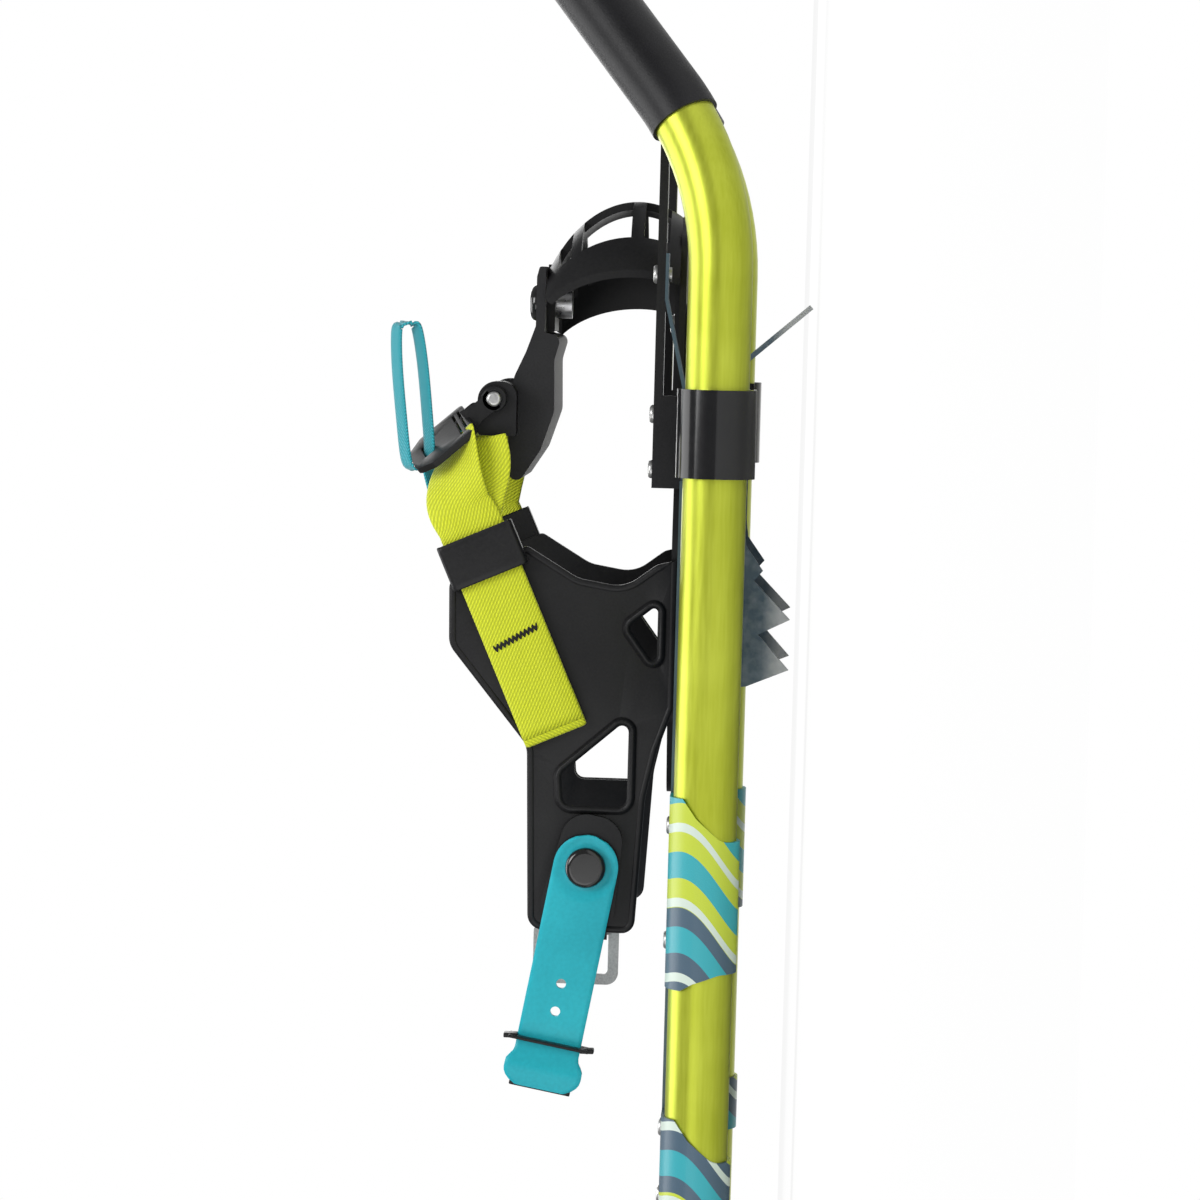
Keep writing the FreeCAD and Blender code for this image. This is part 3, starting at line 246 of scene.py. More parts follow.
# Toe bow: one moulding of tough nylon that sleeves both tube ends.
# Its skin is spark-textured, so that it scatters light in fine points.
toe_black = grained("toe_black", (0.006, 0.006, 0.007), (0.016, 0.016, 0.018), 0.42, 1500, 0.00018)
dress("toe_bow", toe_black)

# Deck: one coated sheet whose flaps are wrapped round the rails and riveted.
# The sheet is slate blue, and its wraps are printed with bands of lime and teal.
deck_slate, deck_shader = plain_finish("deck_slate", (0.045, 0.085, 0.12), 0.5)
deck_tree = deck_slate.node_tree


def join(tree, kind, first, second):
    """Arithmetic of two values, either of which may be a number."""
    node = tree.nodes.new("ShaderNodeMath")
    node.operation = kind
    for i, value in enumerate((first, second)):
        if isinstance(value, (int, float)):
            node.inputs[i].default_value = value
        else:
            tree.links.new(value, node.inputs[i])
    return node.outputs[0]


def blend_colours(tree, amount, first, second):
    """One colour over another by an amount; either may be fixed."""
    node = tree.nodes.new("ShaderNodeMix")
    node.data_type = "RGBA"
    tree.links.new(amount, node.inputs[0])
    for socket, value in ((node.inputs[6], first), (node.inputs[7], second)):
        if isinstance(value, tuple):
            socket.default_value = (*value, 1)
        else:
            tree.links.new(value, socket)
    return node.outputs[2]


parts = deck_tree.nodes.new("ShaderNodeSeparateXYZ")
object_space = deck_tree.nodes.new("ShaderNodeTexCoord")
deck_tree.links.new(object_space.outputs["Object"], parts.inputs[0])
px, py, pz = parts.outputs
side_out = join(deck_tree, "ABSOLUTE", py, 0)
on_wrap = join(deck_tree, "GREATER_THAN", side_out, AXLE.y + 0.0795)
behind_band = join(deck_tree, "LESS_THAN", px, AXLE.x - 0.134)
printed = join(deck_tree, "MULTIPLY", on_wrap, behind_band)
sweep = join(deck_tree, "SINE", join(deck_tree, "ADD", join(deck_tree, "MULTIPLY", pz, 95), 0.6), 0)
slant = join(deck_tree, "ADD", join(deck_tree, "MULTIPLY", px, 72), join(deck_tree, "MULTIPLY", sweep, 1.1))
fine_bands = join(deck_tree, "SINE", join(deck_tree, "MULTIPLY", slant, 3.1), 0)
broad_way = join(deck_tree, "ADD", join(deck_tree, "MULTIPLY", slant, 1.15), 1.2)
broad_bands = join(deck_tree, "SINE", broad_way, 0)
lime_on = join(deck_tree, "GREATER_THAN", broad_bands, -0.25)
teal_on = join(deck_tree, "GREATER_THAN", fine_bands, 0.45)
pale_on = join(deck_tree, "LESS_THAN", fine_bands, -0.93)
art = blend_colours(deck_tree, lime_on, (0.05, 0.10, 0.15), (0.50, 0.60, 0.03))
art = blend_colours(deck_tree, teal_on, art, (0.02, 0.36, 0.42))
art = blend_colours(deck_tree, pale_on, art, (0.60, 0.70, 0.62))
skin = ramp(deck_tree, noise(deck_tree, 60, 4), [(0.3, (0.036, 0.070, 0.10)), (0.7, (0.058, 0.105, 0.145))])
deck_tree.links.new(blend_colours(deck_tree, printed, skin, art), deck_shader.inputs["Base Color"])
weave_grain = noise(deck_tree, 1800, 2)
deck_tree.links.new(spread(deck_tree, weave_grain, 0.38, 0.55), deck_shader.inputs["Roughness"])
bump(deck_tree, deck_shader, weave_grain, 0.00012, 0.5)
deck_shader.inputs["Coat Weight"].default_value = 0.25
deck_shader.inputs["Coat Roughness"].default_value = 0.25
dress("deck_sheet", deck_slate)

# Rivets and screws: domed aluminium rivets through the deck and the mouldings.
# Their heads are lightly marked where the tool pressed them.
rivet_steel = grained("rivet_steel", (0.42, 0.42, 0.42), (0.66, 0.66, 0.65), 0.34, 700, 0.00005, 0.9)
for node_name in (
    "deck_rivets",
    "base_rivets",
    "toe_bow_rivets",
    "lug_rivet_right",
    "lug_rivet_left",
    "heel_tab_rivet",
    "band_screws",
):
    dress(node_name, rivet_steel)

# Pivot bands: glossy mouldings clamped round the rails, with nylon bushings.
# The steel axle and its collars turn in the bushings.
pivot_gloss = grained(
    "pivot_gloss", (0.006, 0.006, 0.007), (0.012, 0.012, 0.013), 0.16, 500, 0.00003, coat=0.35, swing=0.04
)
for node_name in ("pivot_band_right", "pivot_band_left"):
    dress(node_name, pivot_gloss)
bushing_nylon = grained("bushing_nylon", (0.42, 0.42, 0.40), (0.55, 0.55, 0.52), 0.5, 800, 0.00004)
for node_name in ("pivot_bushing_right", "pivot_bushing_left"):
    dress(node_name, bushing_nylon)
axle_steel = grained(
    "axle_steel", (0.45, 0.45, 0.46), (0.66, 0.66, 0.67), 0.3, 900, 0.00003, 0.95, (1, 0.1, 1)
)
for node_name in ("pivot_axle", "axle_collars", "instep_stud"):
    dress(node_name, axle_steel)

# Crampon: one pressed steel plate with front claws and a saw-toothed flange each side.
# It is coated slate blue, worn to bare metal at the tips and the edges of the teeth.
crampon_steel, crampon_shader = plain_finish("crampon_steel", (0.12, 0.17, 0.22), 0.42, 0.55)
crampon_tree = crampon_steel.node_tree
low_place = crampon_tree.nodes.new("ShaderNodeSeparateXYZ")
crampon_space = crampon_tree.nodes.new("ShaderNodeTexCoord")
crampon_tree.links.new(crampon_space.outputs["Object"], low_place.inputs[0])
wear_edge = crampon_tree.nodes.new("ShaderNodeMapRange")
wear_edge.inputs["From Min"].default_value = AXLE.z - 0.019
wear_edge.inputs["From Max"].default_value = AXLE.z - 0.026
crampon_tree.links.new(low_place.outputs[2], wear_edge.inputs["Value"])
cut_edge = spread(crampon_tree, noise(crampon_tree, 260, 3), -0.25, 0.35)
worn = join(crampon_tree, "ADD", wear_edge.outputs["Result"], cut_edge)
worn = join(crampon_tree, "MINIMUM", join(crampon_tree, "MAXIMUM", worn, 0), 1)
slate_tones = [(0.3, (0.075, 0.115, 0.155)), (0.7, (0.12, 0.17, 0.215))]
coat_tone = ramp(crampon_tree, noise(crampon_tree, 90, 3), slate_tones)
crampon_colour = blend_colours(crampon_tree, worn, coat_tone, (0.55, 0.57, 0.59))
crampon_tree.links.new(crampon_colour, crampon_shader.inputs["Base Color"])
crampon_rough = spread(crampon_tree, noise(crampon_tree, 700, 2), 0.3, 0.5)
crampon_tree.links.new(crampon_rough, crampon_shader.inputs["Roughness"])
bump(crampon_tree, crampon_shader, noise(crampon_tree, 500, 3), 0.00006, 0.4)
dress("toe_crampon", crampon_steel)

# Harness mouldings: footbed, side wings, toe hood and heel tabs in flexible rubber.
# They are soft black with a fine moulded skin that dulls the light.
harness_black = grained(
    "harness_black", (0.007, 0.007, 0.008), (0.016, 0.016, 0.017), 0.4, 1100, 0.00007
)
mouldings = ("footbed", "toe_cage", "strap_lug_right", "strap_lug_left", "heel_pad_right", "heel_tab_left")
for node_name in mouldings:
    dress(node_name, harness_black)

# Instep plate: a stiffer moulded pad across the laces, with lengthwise facets.
# Its button and the rivet button at the heel are glossy caps.
instep_black = grained(
    "instep_black", (0.010, 0.010, 0.011), (0.024, 0.024, 0.026), 0.48, 1300, 0.00010
)
dress("instep_plate", instep_black)
button_black = grained(
    "button_black", (0.006, 0.006, 0.006), (0.010, 0.010, 0.010), 0.12, 300, 0.00001, coat=0.8, swing=0.04
)
for node_name in ("heel_button_rivet", "instep_button"):
    dress(node_name, button_black)


# Side wings: flexible moulded flaps that close over the sides of the boot.
# Each has two windows, a raised rim round its edges, and a thin foot under the boot.
def rounded(corners, step=7):
    """The outline through corners of (x, z) or (x, z, radius), in order."""
    outline = []
    count = len(corners)
    for i in range(count):
        here = Vector(corners[i][:2])
        radius = corners[i][2] if len(corners[i]) > 2 else 0
        to_last = (Vector(corners[i - 1][:2]) - here).normalized()
        to_next = (Vector(corners[(i + 1) % count][:2]) - here).normalized()
        half = to_last.angle(to_next) / 2
        if radius == 0 or half > math.radians(88):
            outline.append(here)
            continue
        reach = radius / math.tan(half)
        middle = here + (to_last + to_next).normalized() * (radius / math.sin(half))
        start, end = here + to_last * reach - middle, here + to_next * reach - middle
        turn = start.angle_signed(end)
        for k in range(step + 1):
            angle = -turn * k / step
            spun = Vector(
                (
                    start.x * math.cos(angle) - start.y * math.sin(angle),
                    start.x * math.sin(angle) + start.y * math.cos(angle),
                )
            )
            outline.append(middle + spun)
    return outline


def plate(name, loops, inner, outer, side, soften=0.0007):
    """An upright plate with holes, its loops in X and Z, from inner to outer in Y."""
    sketch = bmesh.new()
    edges = []
    for loop in loops:
        ring = [sketch.verts.new(at(x, side * inner, z)) for x, z in loop]
        edges += [sketch.edges.new((a, b)) for a, b in zip(ring, ring[1:] + ring[:1])]
    bmesh.ops.triangle_fill(sketch, edges=edges, use_beauty=True)
    mesh = bpy.data.meshes.new(name)
    sketch.to_mesh(mesh)
    sketch.free()
    piece = bpy.data.objects.new(name, mesh)
    bpy.context.scene.collection.objects.link(piece)
    thick = piece.modifiers.new("thickness", "SOLIDIFY")
    thick.thickness = (outer - inner) * MM
    facing = mesh.polygons[0].normal.y * side
    thick.offset = 1 if facing > 0 else -1
    rim = piece.modifiers.new("soft_edges", "BEVEL")
    rim.width = soften
    rim.segments = 3
    rim.limit_method = "ANGLE"
    rim.angle_limit = math.radians(50)
    rim.harden_normals = True
    settle(piece)
    for face in piece.data.polygons:
        face.use_smooth = True
    return piece


def settle(piece):
    """Work a piece's modifiers into its mesh."""
    graph = bpy.context.evaluated_depsgraph_get()
    graph.update()
    made = bpy.data.meshes.new_from_object(piece.evaluated_get(graph))
    piece.modifiers.clear()
    piece.data = made


def ribbon(name, loop, inner, outer, side, width):
    """A raised rim that follows a closed outline on a plate's outer face."""
    points, faces = [], []
    count = len(loop)
    area = sum(a.x * b.y - b.x * a.y for a, b in zip(loop, loop[1:] + loop[:1]))
    for i in range(count):
        here, last, after = loop[i], loop[i - 1], loop[(i + 1) % count]
        along = (after - last).normalized()
        inward = Vector((-along.y, along.x)) * (1 if area > 0 else -1)
        for offset, lift in ((0.2, inner), (0.5, outer), (width - 0.4, outer), (width, inner)):
            spot = here + inward * offset
            points.append(at(spot.x, side * lift, spot.y))
        base, ahead = 4 * i, 4 * ((i + 1) % count)
        for k in range(3):
            faces.append((base + k, base + k + 1, ahead + k + 1, ahead + k))
    return mesh_piece(name, points, faces)


wing_corners = [
    (-50, 14),
    (-52, 22, 6),
    (-61, 34, 14),
    (-58, 52, 14),
    (-46, 72, 3),
    (-60, 101.5, 5),
    (-85, 101, 9),
    (-123, 70, 10),
    (-194, 68, 6),
    (-194.5, 27, 5),
    (-142, 24, 30),
    (-124, 20, 12),
    (-107, 14, 4),
]
rear_window = [(-110, 30.5, 3), (-146, 30.5, 4), (-146, 56, 4), (-133, 57, 4)]
front_window = [(-66, 20.5, 2), (-76, 33, 3), (-93, 20.5, 2)]
for name, side in (("right", -1), ("left", 1)):
    loops = [rounded(c) for c in (wing_corners, rear_window, front_window)]
    wing = plate("wing_flap_" + name, loops, 47, 49.9, side)
    wing.data.materials.append(harness_black)
    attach(wing, "binding")
    foot_plan = ((-54, 48), (-54, 26), (-58, 24), (-98, 24), (-102, 26), (-102, 48))
    foot_points = [at(x, side * y, z) for z in (16.5, 18.5) for x, y in foot_plan]
    foot_faces = [tuple(range(6)), tuple(range(6, 12))]
    foot_faces += [(i, (i + 1) % 6, 6 + (i + 1) % 6, 6 + i) for i in range(6)]
    foot = mesh_piece("wing_foot_" + name, foot_points, foot_faces, False)
    foot.data.materials.append(harness_black)
    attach(foot, "binding")
    for k, loop in enumerate(loops):
        rim = ribbon("wing_rim_%s_%d" % (name, k), loop, 49.8, 50.4, side, 2.6 if k == 0 else -2.2)
        rim.data.materials.append(harness_black)
        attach(rim, "binding")
    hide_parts("side_wing_" + name)

# Webbing: 25 mm woven straps, sewn to the wings and doubled back through a keeper.
# The weave runs in slanting ribs, and the edges are a tighter, paler selvedge.


def strap_finish(name, dark, light, rib=1500, rough=0.7):
    """Woven tape: slanting ribs across its length and width, from its UV in metres."""
    made, shader = plain_finish(name, light, rough)
    tree = made.node_tree
    where = tree.nodes.new("ShaderNodeUVMap")
    where.uv_map = "tape"
    split = tree.nodes.new("ShaderNodeSeparateXYZ")
    tree.links.new(where.outputs["UV"], split.inputs[0])
    u, v = split.outputs[0], split.outputs[1]
    slanted = join(tree, "ADD", join(tree, "MULTIPLY", u, rib * 2.6), join(tree, "MULTIPLY", v, rib * 2.6))
    across = join(tree, "MULTIPLY", v, rib * 3.2)
    ribs = join(tree, "SINE", slanted, 0)
    picks = join(tree, "SINE", across, 0)
    rib_height = join(tree, "ADD", ribs, 1.2)
    pick_height = join(tree, "ADD", join(tree, "MULTIPLY", picks, 0.35), 1)
    woven = join(tree, "MULTIPLY", rib_height, pick_height)
    scaled = join(tree, "MULTIPLY", woven, 0.3)
    tree.links.new(ramp(tree, scaled, [(0.1, dark), (0.75, light)]), shader.inputs["Base Color"])
    tree.links.new(spread(tree, noise(tree, 400, 2), rough - 0.1, rough + 0.1), shader.inputs["Roughness"])
    bump(tree, shader, scaled, 0.0004, 0.6)
    shader.inputs["Sheen Weight"].default_value = 0.3
    shader.inputs["Sheen Roughness"].default_value = 0.4
    return made


webbing_lime = strap_finish("webbing_lime", (0.46, 0.52, 0.006), (0.76, 0.82, 0.020))


def eased(t, q0, q1, q2, q3):
    """A place between q1 and q2 on the smooth line through all four."""
    turning = 2 * q0 - 5 * q1 + 4 * q2 - q3
    closing = 3 * q1 - q0 - 3 * q2 + q3
    return 0.5 * (2 * q1 + (q2 - q0) * t + turning * t * t + closing * t**3)


def tape(name, spine, width, thick, smooth_steps=6):
    """A flat tape along a spine of (place, across) pairs, its width along across."""
    places = [Vector(p) for p, a in spine]
    acrosses = [Vector(a).normalized() for p, a in spine]
    fine = []
    count = len(places)
    for i in range(count - 1):
        around = [min(max(i + step, 0), count - 1) for step in (-1, 0, 1, 2)]
        p0, p1, p2, p3 = (places[stop] for stop in around)
        a0, a1, a2, a3 = (acrosses[stop] for stop in around)
        for k in range(smooth_steps):
            t = k / smooth_steps
            fine.append([eased(t, p0, p1, p2, p3), eased(t, a0, a1, a2, a3)])
    fine.append([places[-1], acrosses[-1]])
    points, faces, lengths = [], [], []
    run = 0.0
    face_side = [
        (-0.5, -0.15), (-0.46, -0.5), (-0.2, -0.5), (0, -0.5), (0.2, -0.5), (0.46, -0.5), (0.5, -0.15)
    ]
    section = face_side + [(-w, -t) for w, t in face_side]
    for i, (place, across) in enumerate(fine):
        if i:
            run += (place - fine[i - 1][0]).length
        lengths.append(run)
        ahead = fine[min(i + 1, len(fine) - 1)][0] - fine[max(i - 1, 0)][0]
        across = (across - ahead.normalized() * across.dot(ahead.normalized())).normalized()
        normal = ahead.cross(across).normalized()
        for w, t in section:
            points.append(place + across * (w * width * MM) + normal * (t * thick * MM))
    n = len(section)
    for i in range(len(fine) - 1):
        for k in range(n):
            a, b = n * i + k, n * i + (k + 1) % n
            faces.append((a, b, b + n, a + n))
    faces.append(tuple(range(n - 1, -1, -1)))
    faces.append(tuple(n * (len(fine) - 1) + k for k in range(n)))
    piece = mesh_piece(name, points, faces)
    layer = piece.data.uv_layers.new(name="tape")
    for loop in piece.data.loops:
        i, k = divmod(loop.vertex_index, n)
        layer.data[loop.index].uv = (lengths[i], (section[k][0] + 0.5) * width * MM)
    return piece


slope = math.atan2(29.3, 66.7)
tail_way = Vector((-math.cos(slope), 0, -math.sin(slope)))
tail_up = Vector((-math.sin(slope), 0, math.cos(slope)))
keeper_middle = Vector((-50, 0, 88.7))


def on_tail(distance, y, lift=0.0):
    """A place down the strap's tail from its keeper."""
    spot = keeper_middle + tail_way * distance + tail_up * lift
    return at(spot.x, y, spot.z)


for name, side in (("right", -1), ("left", 1)):
    inner_layer = [
        (on_tail(60, side * 51.7), tail_up),
        (on_tail(30, side * 51.7), tail_up),
        (on_tail(0, side * 51.7), tail_up),
        (on_tail(-14, side * 51.4), tail_up),
        (at(-28, side * 50.0, 93.5), (-0.26, side * -0.05, 0.96)),
        (at(-16, side * 48.0, 91.0), (-0.06, side * -0.25, 0.96)),
        (at(-6, side * 45.8, 92.0), (0.10, side * -0.50, 0.86)),
    ]
    outer_layer = [
        (on_tail(72, side * 53.5), tail_up),
        (on_tail(40, side * 53.6), tail_up),
        (on_tail(0, side * 53.6), tail_up),
        (on_tail(-12, side * 53.6), tail_up),
        (at(-31, side * 53.0, 98.4), (-0.38, side * -0.12, 0.92)),
        (at(-22, side * 50.8, 100.0), (-0.26, side * -0.45, 0.86)),
        (at(-12, side * 47.0, 99.6), (-0.05, side * -0.80, 0.60)),
        (at(-4, side * 43.4, 98.4), (0.12, side * -0.96, 0.25)),
    ]
    upper = tape("webbing_outer_" + name, outer_layer, 25, 1.5)
    lower = tape("webbing_inner_" + name, inner_layer, 25, 1.5)
    fold_line = ((72, 53.5), (74.2, 52.9), (74.2, 51.8), (71, 51.0), (58, 50.9))
    fold = [(on_tail(d, side * y), tail_up) for d, y in fold_line]
    turned = tape("webbing_fold_" + name, fold, 25, 1.2)
    for piece in (upper, lower, turned):
        piece.data.materials.append(webbing_lime)
        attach(piece, "binding")
    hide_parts("webbing_" + name)
    # The bar tack is one zigzag of thread across the outer layer.
    tack_stitches, tack_place, tack_reach, tack_step = 22, 33, 1.3, 0.85
    stitches = bmesh.new()
    for k in range(tack_stitches):
        bite = tack_reach if k % 2 else -tack_reach
        along = tack_place + 0.1 * k
        start = keeper_middle + tail_way * (along + bite) + tail_up * (k * tack_step - 9.3)
        end = keeper_middle + tail_way * (along - bite) + tail_up * (k * tack_step - 8.5)
        middle = at((start.x + end.x) / 2, side * 54.45, (start.z + end.z) / 2)
        turn = (end - start).normalized().to_track_quat("X", "Z").to_matrix().to_4x4()
        seat = Matrix.Translation(middle) @ turn @ Matrix.Diagonal((3.6, 1, 1, 1))
        bmesh.ops.create_icosphere(stitches, subdivisions=2, radius=0.00045, matrix=seat)
    stitch_mesh = bpy.data.meshes.new("bar_tack_" + name)
    stitches.to_mesh(stitch_mesh)
    stitches.free()
    tack = bpy.data.objects.new("bar_tack_" + name, stitch_mesh)
    bpy.context.scene.collection.objects.link(tack)
    thread = grained("thread_black_" + name, (0.01, 0.01, 0.01), (0.03, 0.03, 0.03), 0.7, 2500, 0.00005)
    tack.data.materials.append(thread)
    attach(tack, "binding")

# Keepers: moulded sleeves that hold the webbing's two layers together.
# Each is a flattened ring with softened edges, riveted through the wing.
buckle_black = grained(
    "buckle_black", (0.008, 0.008, 0.009), (0.017, 0.017, 0.018), 0.36, 900, 0.00006
)
dress("strap_keeper", buckle_black)
for name, side in (("right", -1), ("left", 1)):
    points, faces = [], []
    outline = rounded([(-15.4, 0.1, 0.6), (-15.4, 7.0, 2.2), (15.4, 7.0, 2.2), (15.4, 0.1, 0.6)], 5)
    inner_line = rounded([(-13.2, 1.3, 0.5), (-13.2, 5.5, 1.2), (13.2, 5.5, 1.2), (13.2, 1.3, 0.5)], 5)
    stations = [(-9, 0.55), (-8.4, 0.05), (-6.5, 0), (6.5, 0), (8.4, 0.05), (9, 0.55)]
    n = len(outline)
    for d, shrink in stations:
        for w, t in outline:
            points.append(on_tail(d, side * (50 + t * (1 - shrink * 0.08)), w * (1 - shrink * 0.03)))
    m = len(inner_line)
    for d, shrink in stations:
        for w, t in inner_line:
            points.append(on_tail(d, side * (50 + t), w))
    for i in range(len(stations) - 1):
        for k in range(n):
            faces.append((n * i + k, n * i + (k + 1) % n, n * (i + 1) + (k + 1) % n, n * (i + 1) + k))
        base = n * len(stations)
        near, far = base + m * i, base + m * (i + 1)
        for k in range(m):
            after = (k + 1) % m
            faces.append((near + k, far + k, far + after, near + after))
    base = n * len(stations)
    for row in (0, len(stations) - 1):
        outer, inner = n * row, base + m * row
        for k in range(n):
            faces.append((outer + k, outer + (k + 1) % n, inner + (k + 1) % m, inner + k))
    sleeve = mesh_piece("keeper_sleeve_" + name, points, faces)
    sleeve.data.materials.append(buckle_black)
    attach(sleeve, "binding")
    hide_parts("webbing_keeper_" + name)

# Ladder buckles: moulded levers that swing on the lug rivets and grip the webbing.
# Each is a tapered plate with a raised rim, two strap slots and one for the pull loop.
lever_angle = math.atan2(29.5, -25.7)
lever_along = Vector((math.cos(lever_angle), 0, math.sin(lever_angle)))
lever_normal = Vector((lever_along.z, 0, -lever_along.x))
tilt = math.radians(25)


def lever_place(side, u, v, w):
    """A place on a lever: along it, across it and out of its face, from the rivet."""
    over = Vector((0, side, 0))
    wide = over * math.cos(tilt) - lever_normal * math.sin(tilt)
    out = lever_along.cross(wide) * side
    foot = Vector((9.7, side * 42.55, 86.5)) + lever_along * 12
    spot = foot + lever_along * u + wide * v + out * w
    return at(spot.x, spot.y, spot.z)


def lever_plate(name, side, loops, low, high, soften):
    """A plate in a lever's own plane, with its holes."""
    sketch = bmesh.new()
    edges = []
    for loop in loops:
        ring = [sketch.verts.new(lever_place(side, u, v, low)) for u, v in loop]
        edges += [sketch.edges.new((a, b)) for a, b in zip(ring, ring[1:] + ring[:1])]
    bmesh.ops.triangle_fill(sketch, edges=edges, use_beauty=True)
    mesh = bpy.data.meshes.new(name)
    sketch.to_mesh(mesh)
    sketch.free()
    piece = bpy.data.objects.new(name, mesh)
    bpy.context.scene.collection.objects.link(piece)
    thick = piece.modifiers.new("thickness", "SOLIDIFY")
    thick.thickness = (high - low) * MM
    rise = lever_place(side, 0, 0, 1) - lever_place(side, 0, 0, 0)
    thick.offset = 1 if mesh.polygons[0].normal.dot(rise) > 0 else -1
    rim = piece.modifiers.new("soft_edges", "BEVEL")
    rim.width = soften
    rim.segments = 3
    rim.limit_method = "ANGLE"
    rim.angle_limit = math.radians(50)
    settle(piece)
    for face in piece.data.polygons:
        face.use_smooth = True
    return piece


def lever_line(heel, shoulder, tip, half, tip_half, heel_round, tip_round):
    """A lever's outline: square at its heel, with the corners of its tip cut."""
    corners = [(heel, -half, heel_round), (heel, half, heel_round), (shoulder, half, tip_round)]
    corners += [(tip, tip_half, tip_round), (tip, -tip_half, tip_round), (shoulder, -half, tip_round)]
    return rounded(corners, 5)


for name, side in (("right", -1), ("left", 1)):
    outline = lever_line(0, 21, 27.8, 12.8, 8, 2, 2.5)
    slots = [
        rounded([(near, -half, 0.3), (near, half, 0.3), (far, half, 0.3), (far, -half, 0.3)], 3)
        for near, far, half in ((2.2, 3.4, 9.6), (4.8, 6, 9.6), (17.5, 22.5, 4.6))
    ]
    lever = lever_plate("lever_" + name, side, [outline] + slots, -1.4, 1.0, 0.0004)
    rim_outer = lever_line(0.3, 20.8, 27.5, 12.6, 7.8, 2, 2.5)
    rim_inner = lever_line(1.6, 20.2, 26.1, 11.2, 7, 1, 2)
    lip = lever_plate("lever_rim_" + name, side, [rim_outer, rim_inner], 0.8, 1.5, 0.0003)
    neck_points = []
    for u, half in ((-12, 4.6), (-8, 3.9), (-3, 3.9), (1.5, 5.2)):
        for v, w in ((-half, 0), (half, 0), (half, 1), (-half, 1)):
            neck_start = Vector((9.7, side * (41.3 if w == 0 else 43.8), 86.5))
            spot = neck_start + lever_along * (12 + u) + lever_normal * v * 0.9
            neck_points.append(at(spot.x, spot.y, spot.z))
    neck_faces = [(12, 13, 14, 15)]
    for i in range(3):
        for k in range(4):
            after = (k + 1) % 4
            neck_faces.append((4 * i + k, 4 * i + after, 4 * i + 4 + after, 4 * i + 4 + k))
    neck = mesh_piece("lever_neck_" + name, neck_points, neck_faces, False)
    eye_points, eye_faces = [], []
    for k in range(28):
        angle = 2 * math.pi * k / 28
        for radius, y in ((2.1, 41.3), (5, 41.4), (5, 43.4), (4.4, 43.8), (2.1, 43.8)):
            eye_points.append(at(9.7 + radius * math.cos(angle), side * y, 86.5 + radius * math.sin(angle)))
        for j in range(5):
            a, b = 5 * k + j, 5 * k + (j + 1) % 5
            c, d = 5 * ((k + 1) % 28) + (j + 1) % 5, 5 * ((k + 1) % 28) + j
            eye_faces.append((a, b, c, d))
    eye = mesh_piece("lever_eye_" + name, eye_points, eye_faces)
    for piece in (lever, lip, neck, eye):
        piece.data.materials.append(buckle_black)
        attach(piece, "buckle_" + name)
    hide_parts("ladder_buckle_" + name)

# Pull loops: narrow teal tapes sewn through the end slots of the levers.
# The wearer's gloved finger goes through the loop to tighten or free the strap.
loop_teal = strap_finish("loop_teal", (0.008, 0.22, 0.27), (0.03, 0.47, 0.55), 1900)
for name, side in (("right", -1), ("left", 1)):
    bar = Vector((9.7, 0, 86.5)) + lever_along * 38
    reach = Vector((54, 0, 6)) if side < 0 else Vector((-44, 0, -13))
    along = reach.normalized()
    aside = Vector((-along.z, 0, along.x)) * (1 if side < 0 else -1)
    length = reach.length
    y = side * 42.55
    spine = []
    half_loop = [(-2.6, 0), (-2.0, 2.6), (2, 4.6), (length * 0.35, 5.0), (length * 0.7, 4.9)]
    half_loop += [(length - 3.4, 3.9), (length - 1.4, 2.0), (length - 1.0, 0)]
    for d, w in half_loop + [(d, -w) for d, w in reversed(half_loop[:-1])]:
        spot = bar + along * d + aside * w
        spine.append((at(spot.x, y, spot.z), (0, 0.78, side * -0.62)))
    loop = tape("pull_tape_" + name, spine, 6.8, 1.1)
    pad_outline = rounded([(15.4, -5, 1.6), (15.4, 5, 1.6), (6.6, 4.6, 1.6), (6.6, -4.6, 1.6)], 4)
    end_pad = lever_plate("pull_pad_" + name, side, [pad_outline], 1.05, 2.3, 0.0004)
    teal_pad = grained("loop_pad_" + name, (0.01, 0.30, 0.36), (0.03, 0.46, 0.53), 0.5, 900, 0.00008)
    loop.data.materials.append(loop_teal)
    end_pad.data.materials.append(teal_pad)
    for piece in (loop, end_pad):
        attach(piece, "buckle_" + name)
    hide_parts("pull_loop_" + name)

# Heel strap: a moulded teal strap that swings on the button rivet, on the right.
# It is dished round the button, has two adjustment holes, and ends in a turned lip.
lean = math.radians(10.3)
way = Vector((-math.cos(lean), 0, math.sin(lean)))
wide = Vector((math.sin(lean), 0, math.cos(lean)))
heel = Vector((-168.7, 0, 45.9))


def on_strap(distance, aside, y):
    """A place along the heel strap from its button, and across it."""
    spot = heel + way * distance + wide * aside
    return at(spot.x, y, spot.z)


strap_points, strap_faces = [], []
rows, columns = 64, 28


def strap_half(distance):
    """Half the strap's width: round at the button, wider at the lip."""
    if distance < 0:
        return math.sqrt(max(12.5**2 - distance**2, 0.01))
    if distance < 74:
        return 12.5
    if distance < 79:
        return 12.5 + 2.6 * (1 - math.cos(math.pi * (distance - 74) / 5)) / 2
    over = (distance - 81.5) / 6.5
    return 15.1 * math.sqrt(max(1 - max(over, 0) ** 2 * 0.62, 0.05))


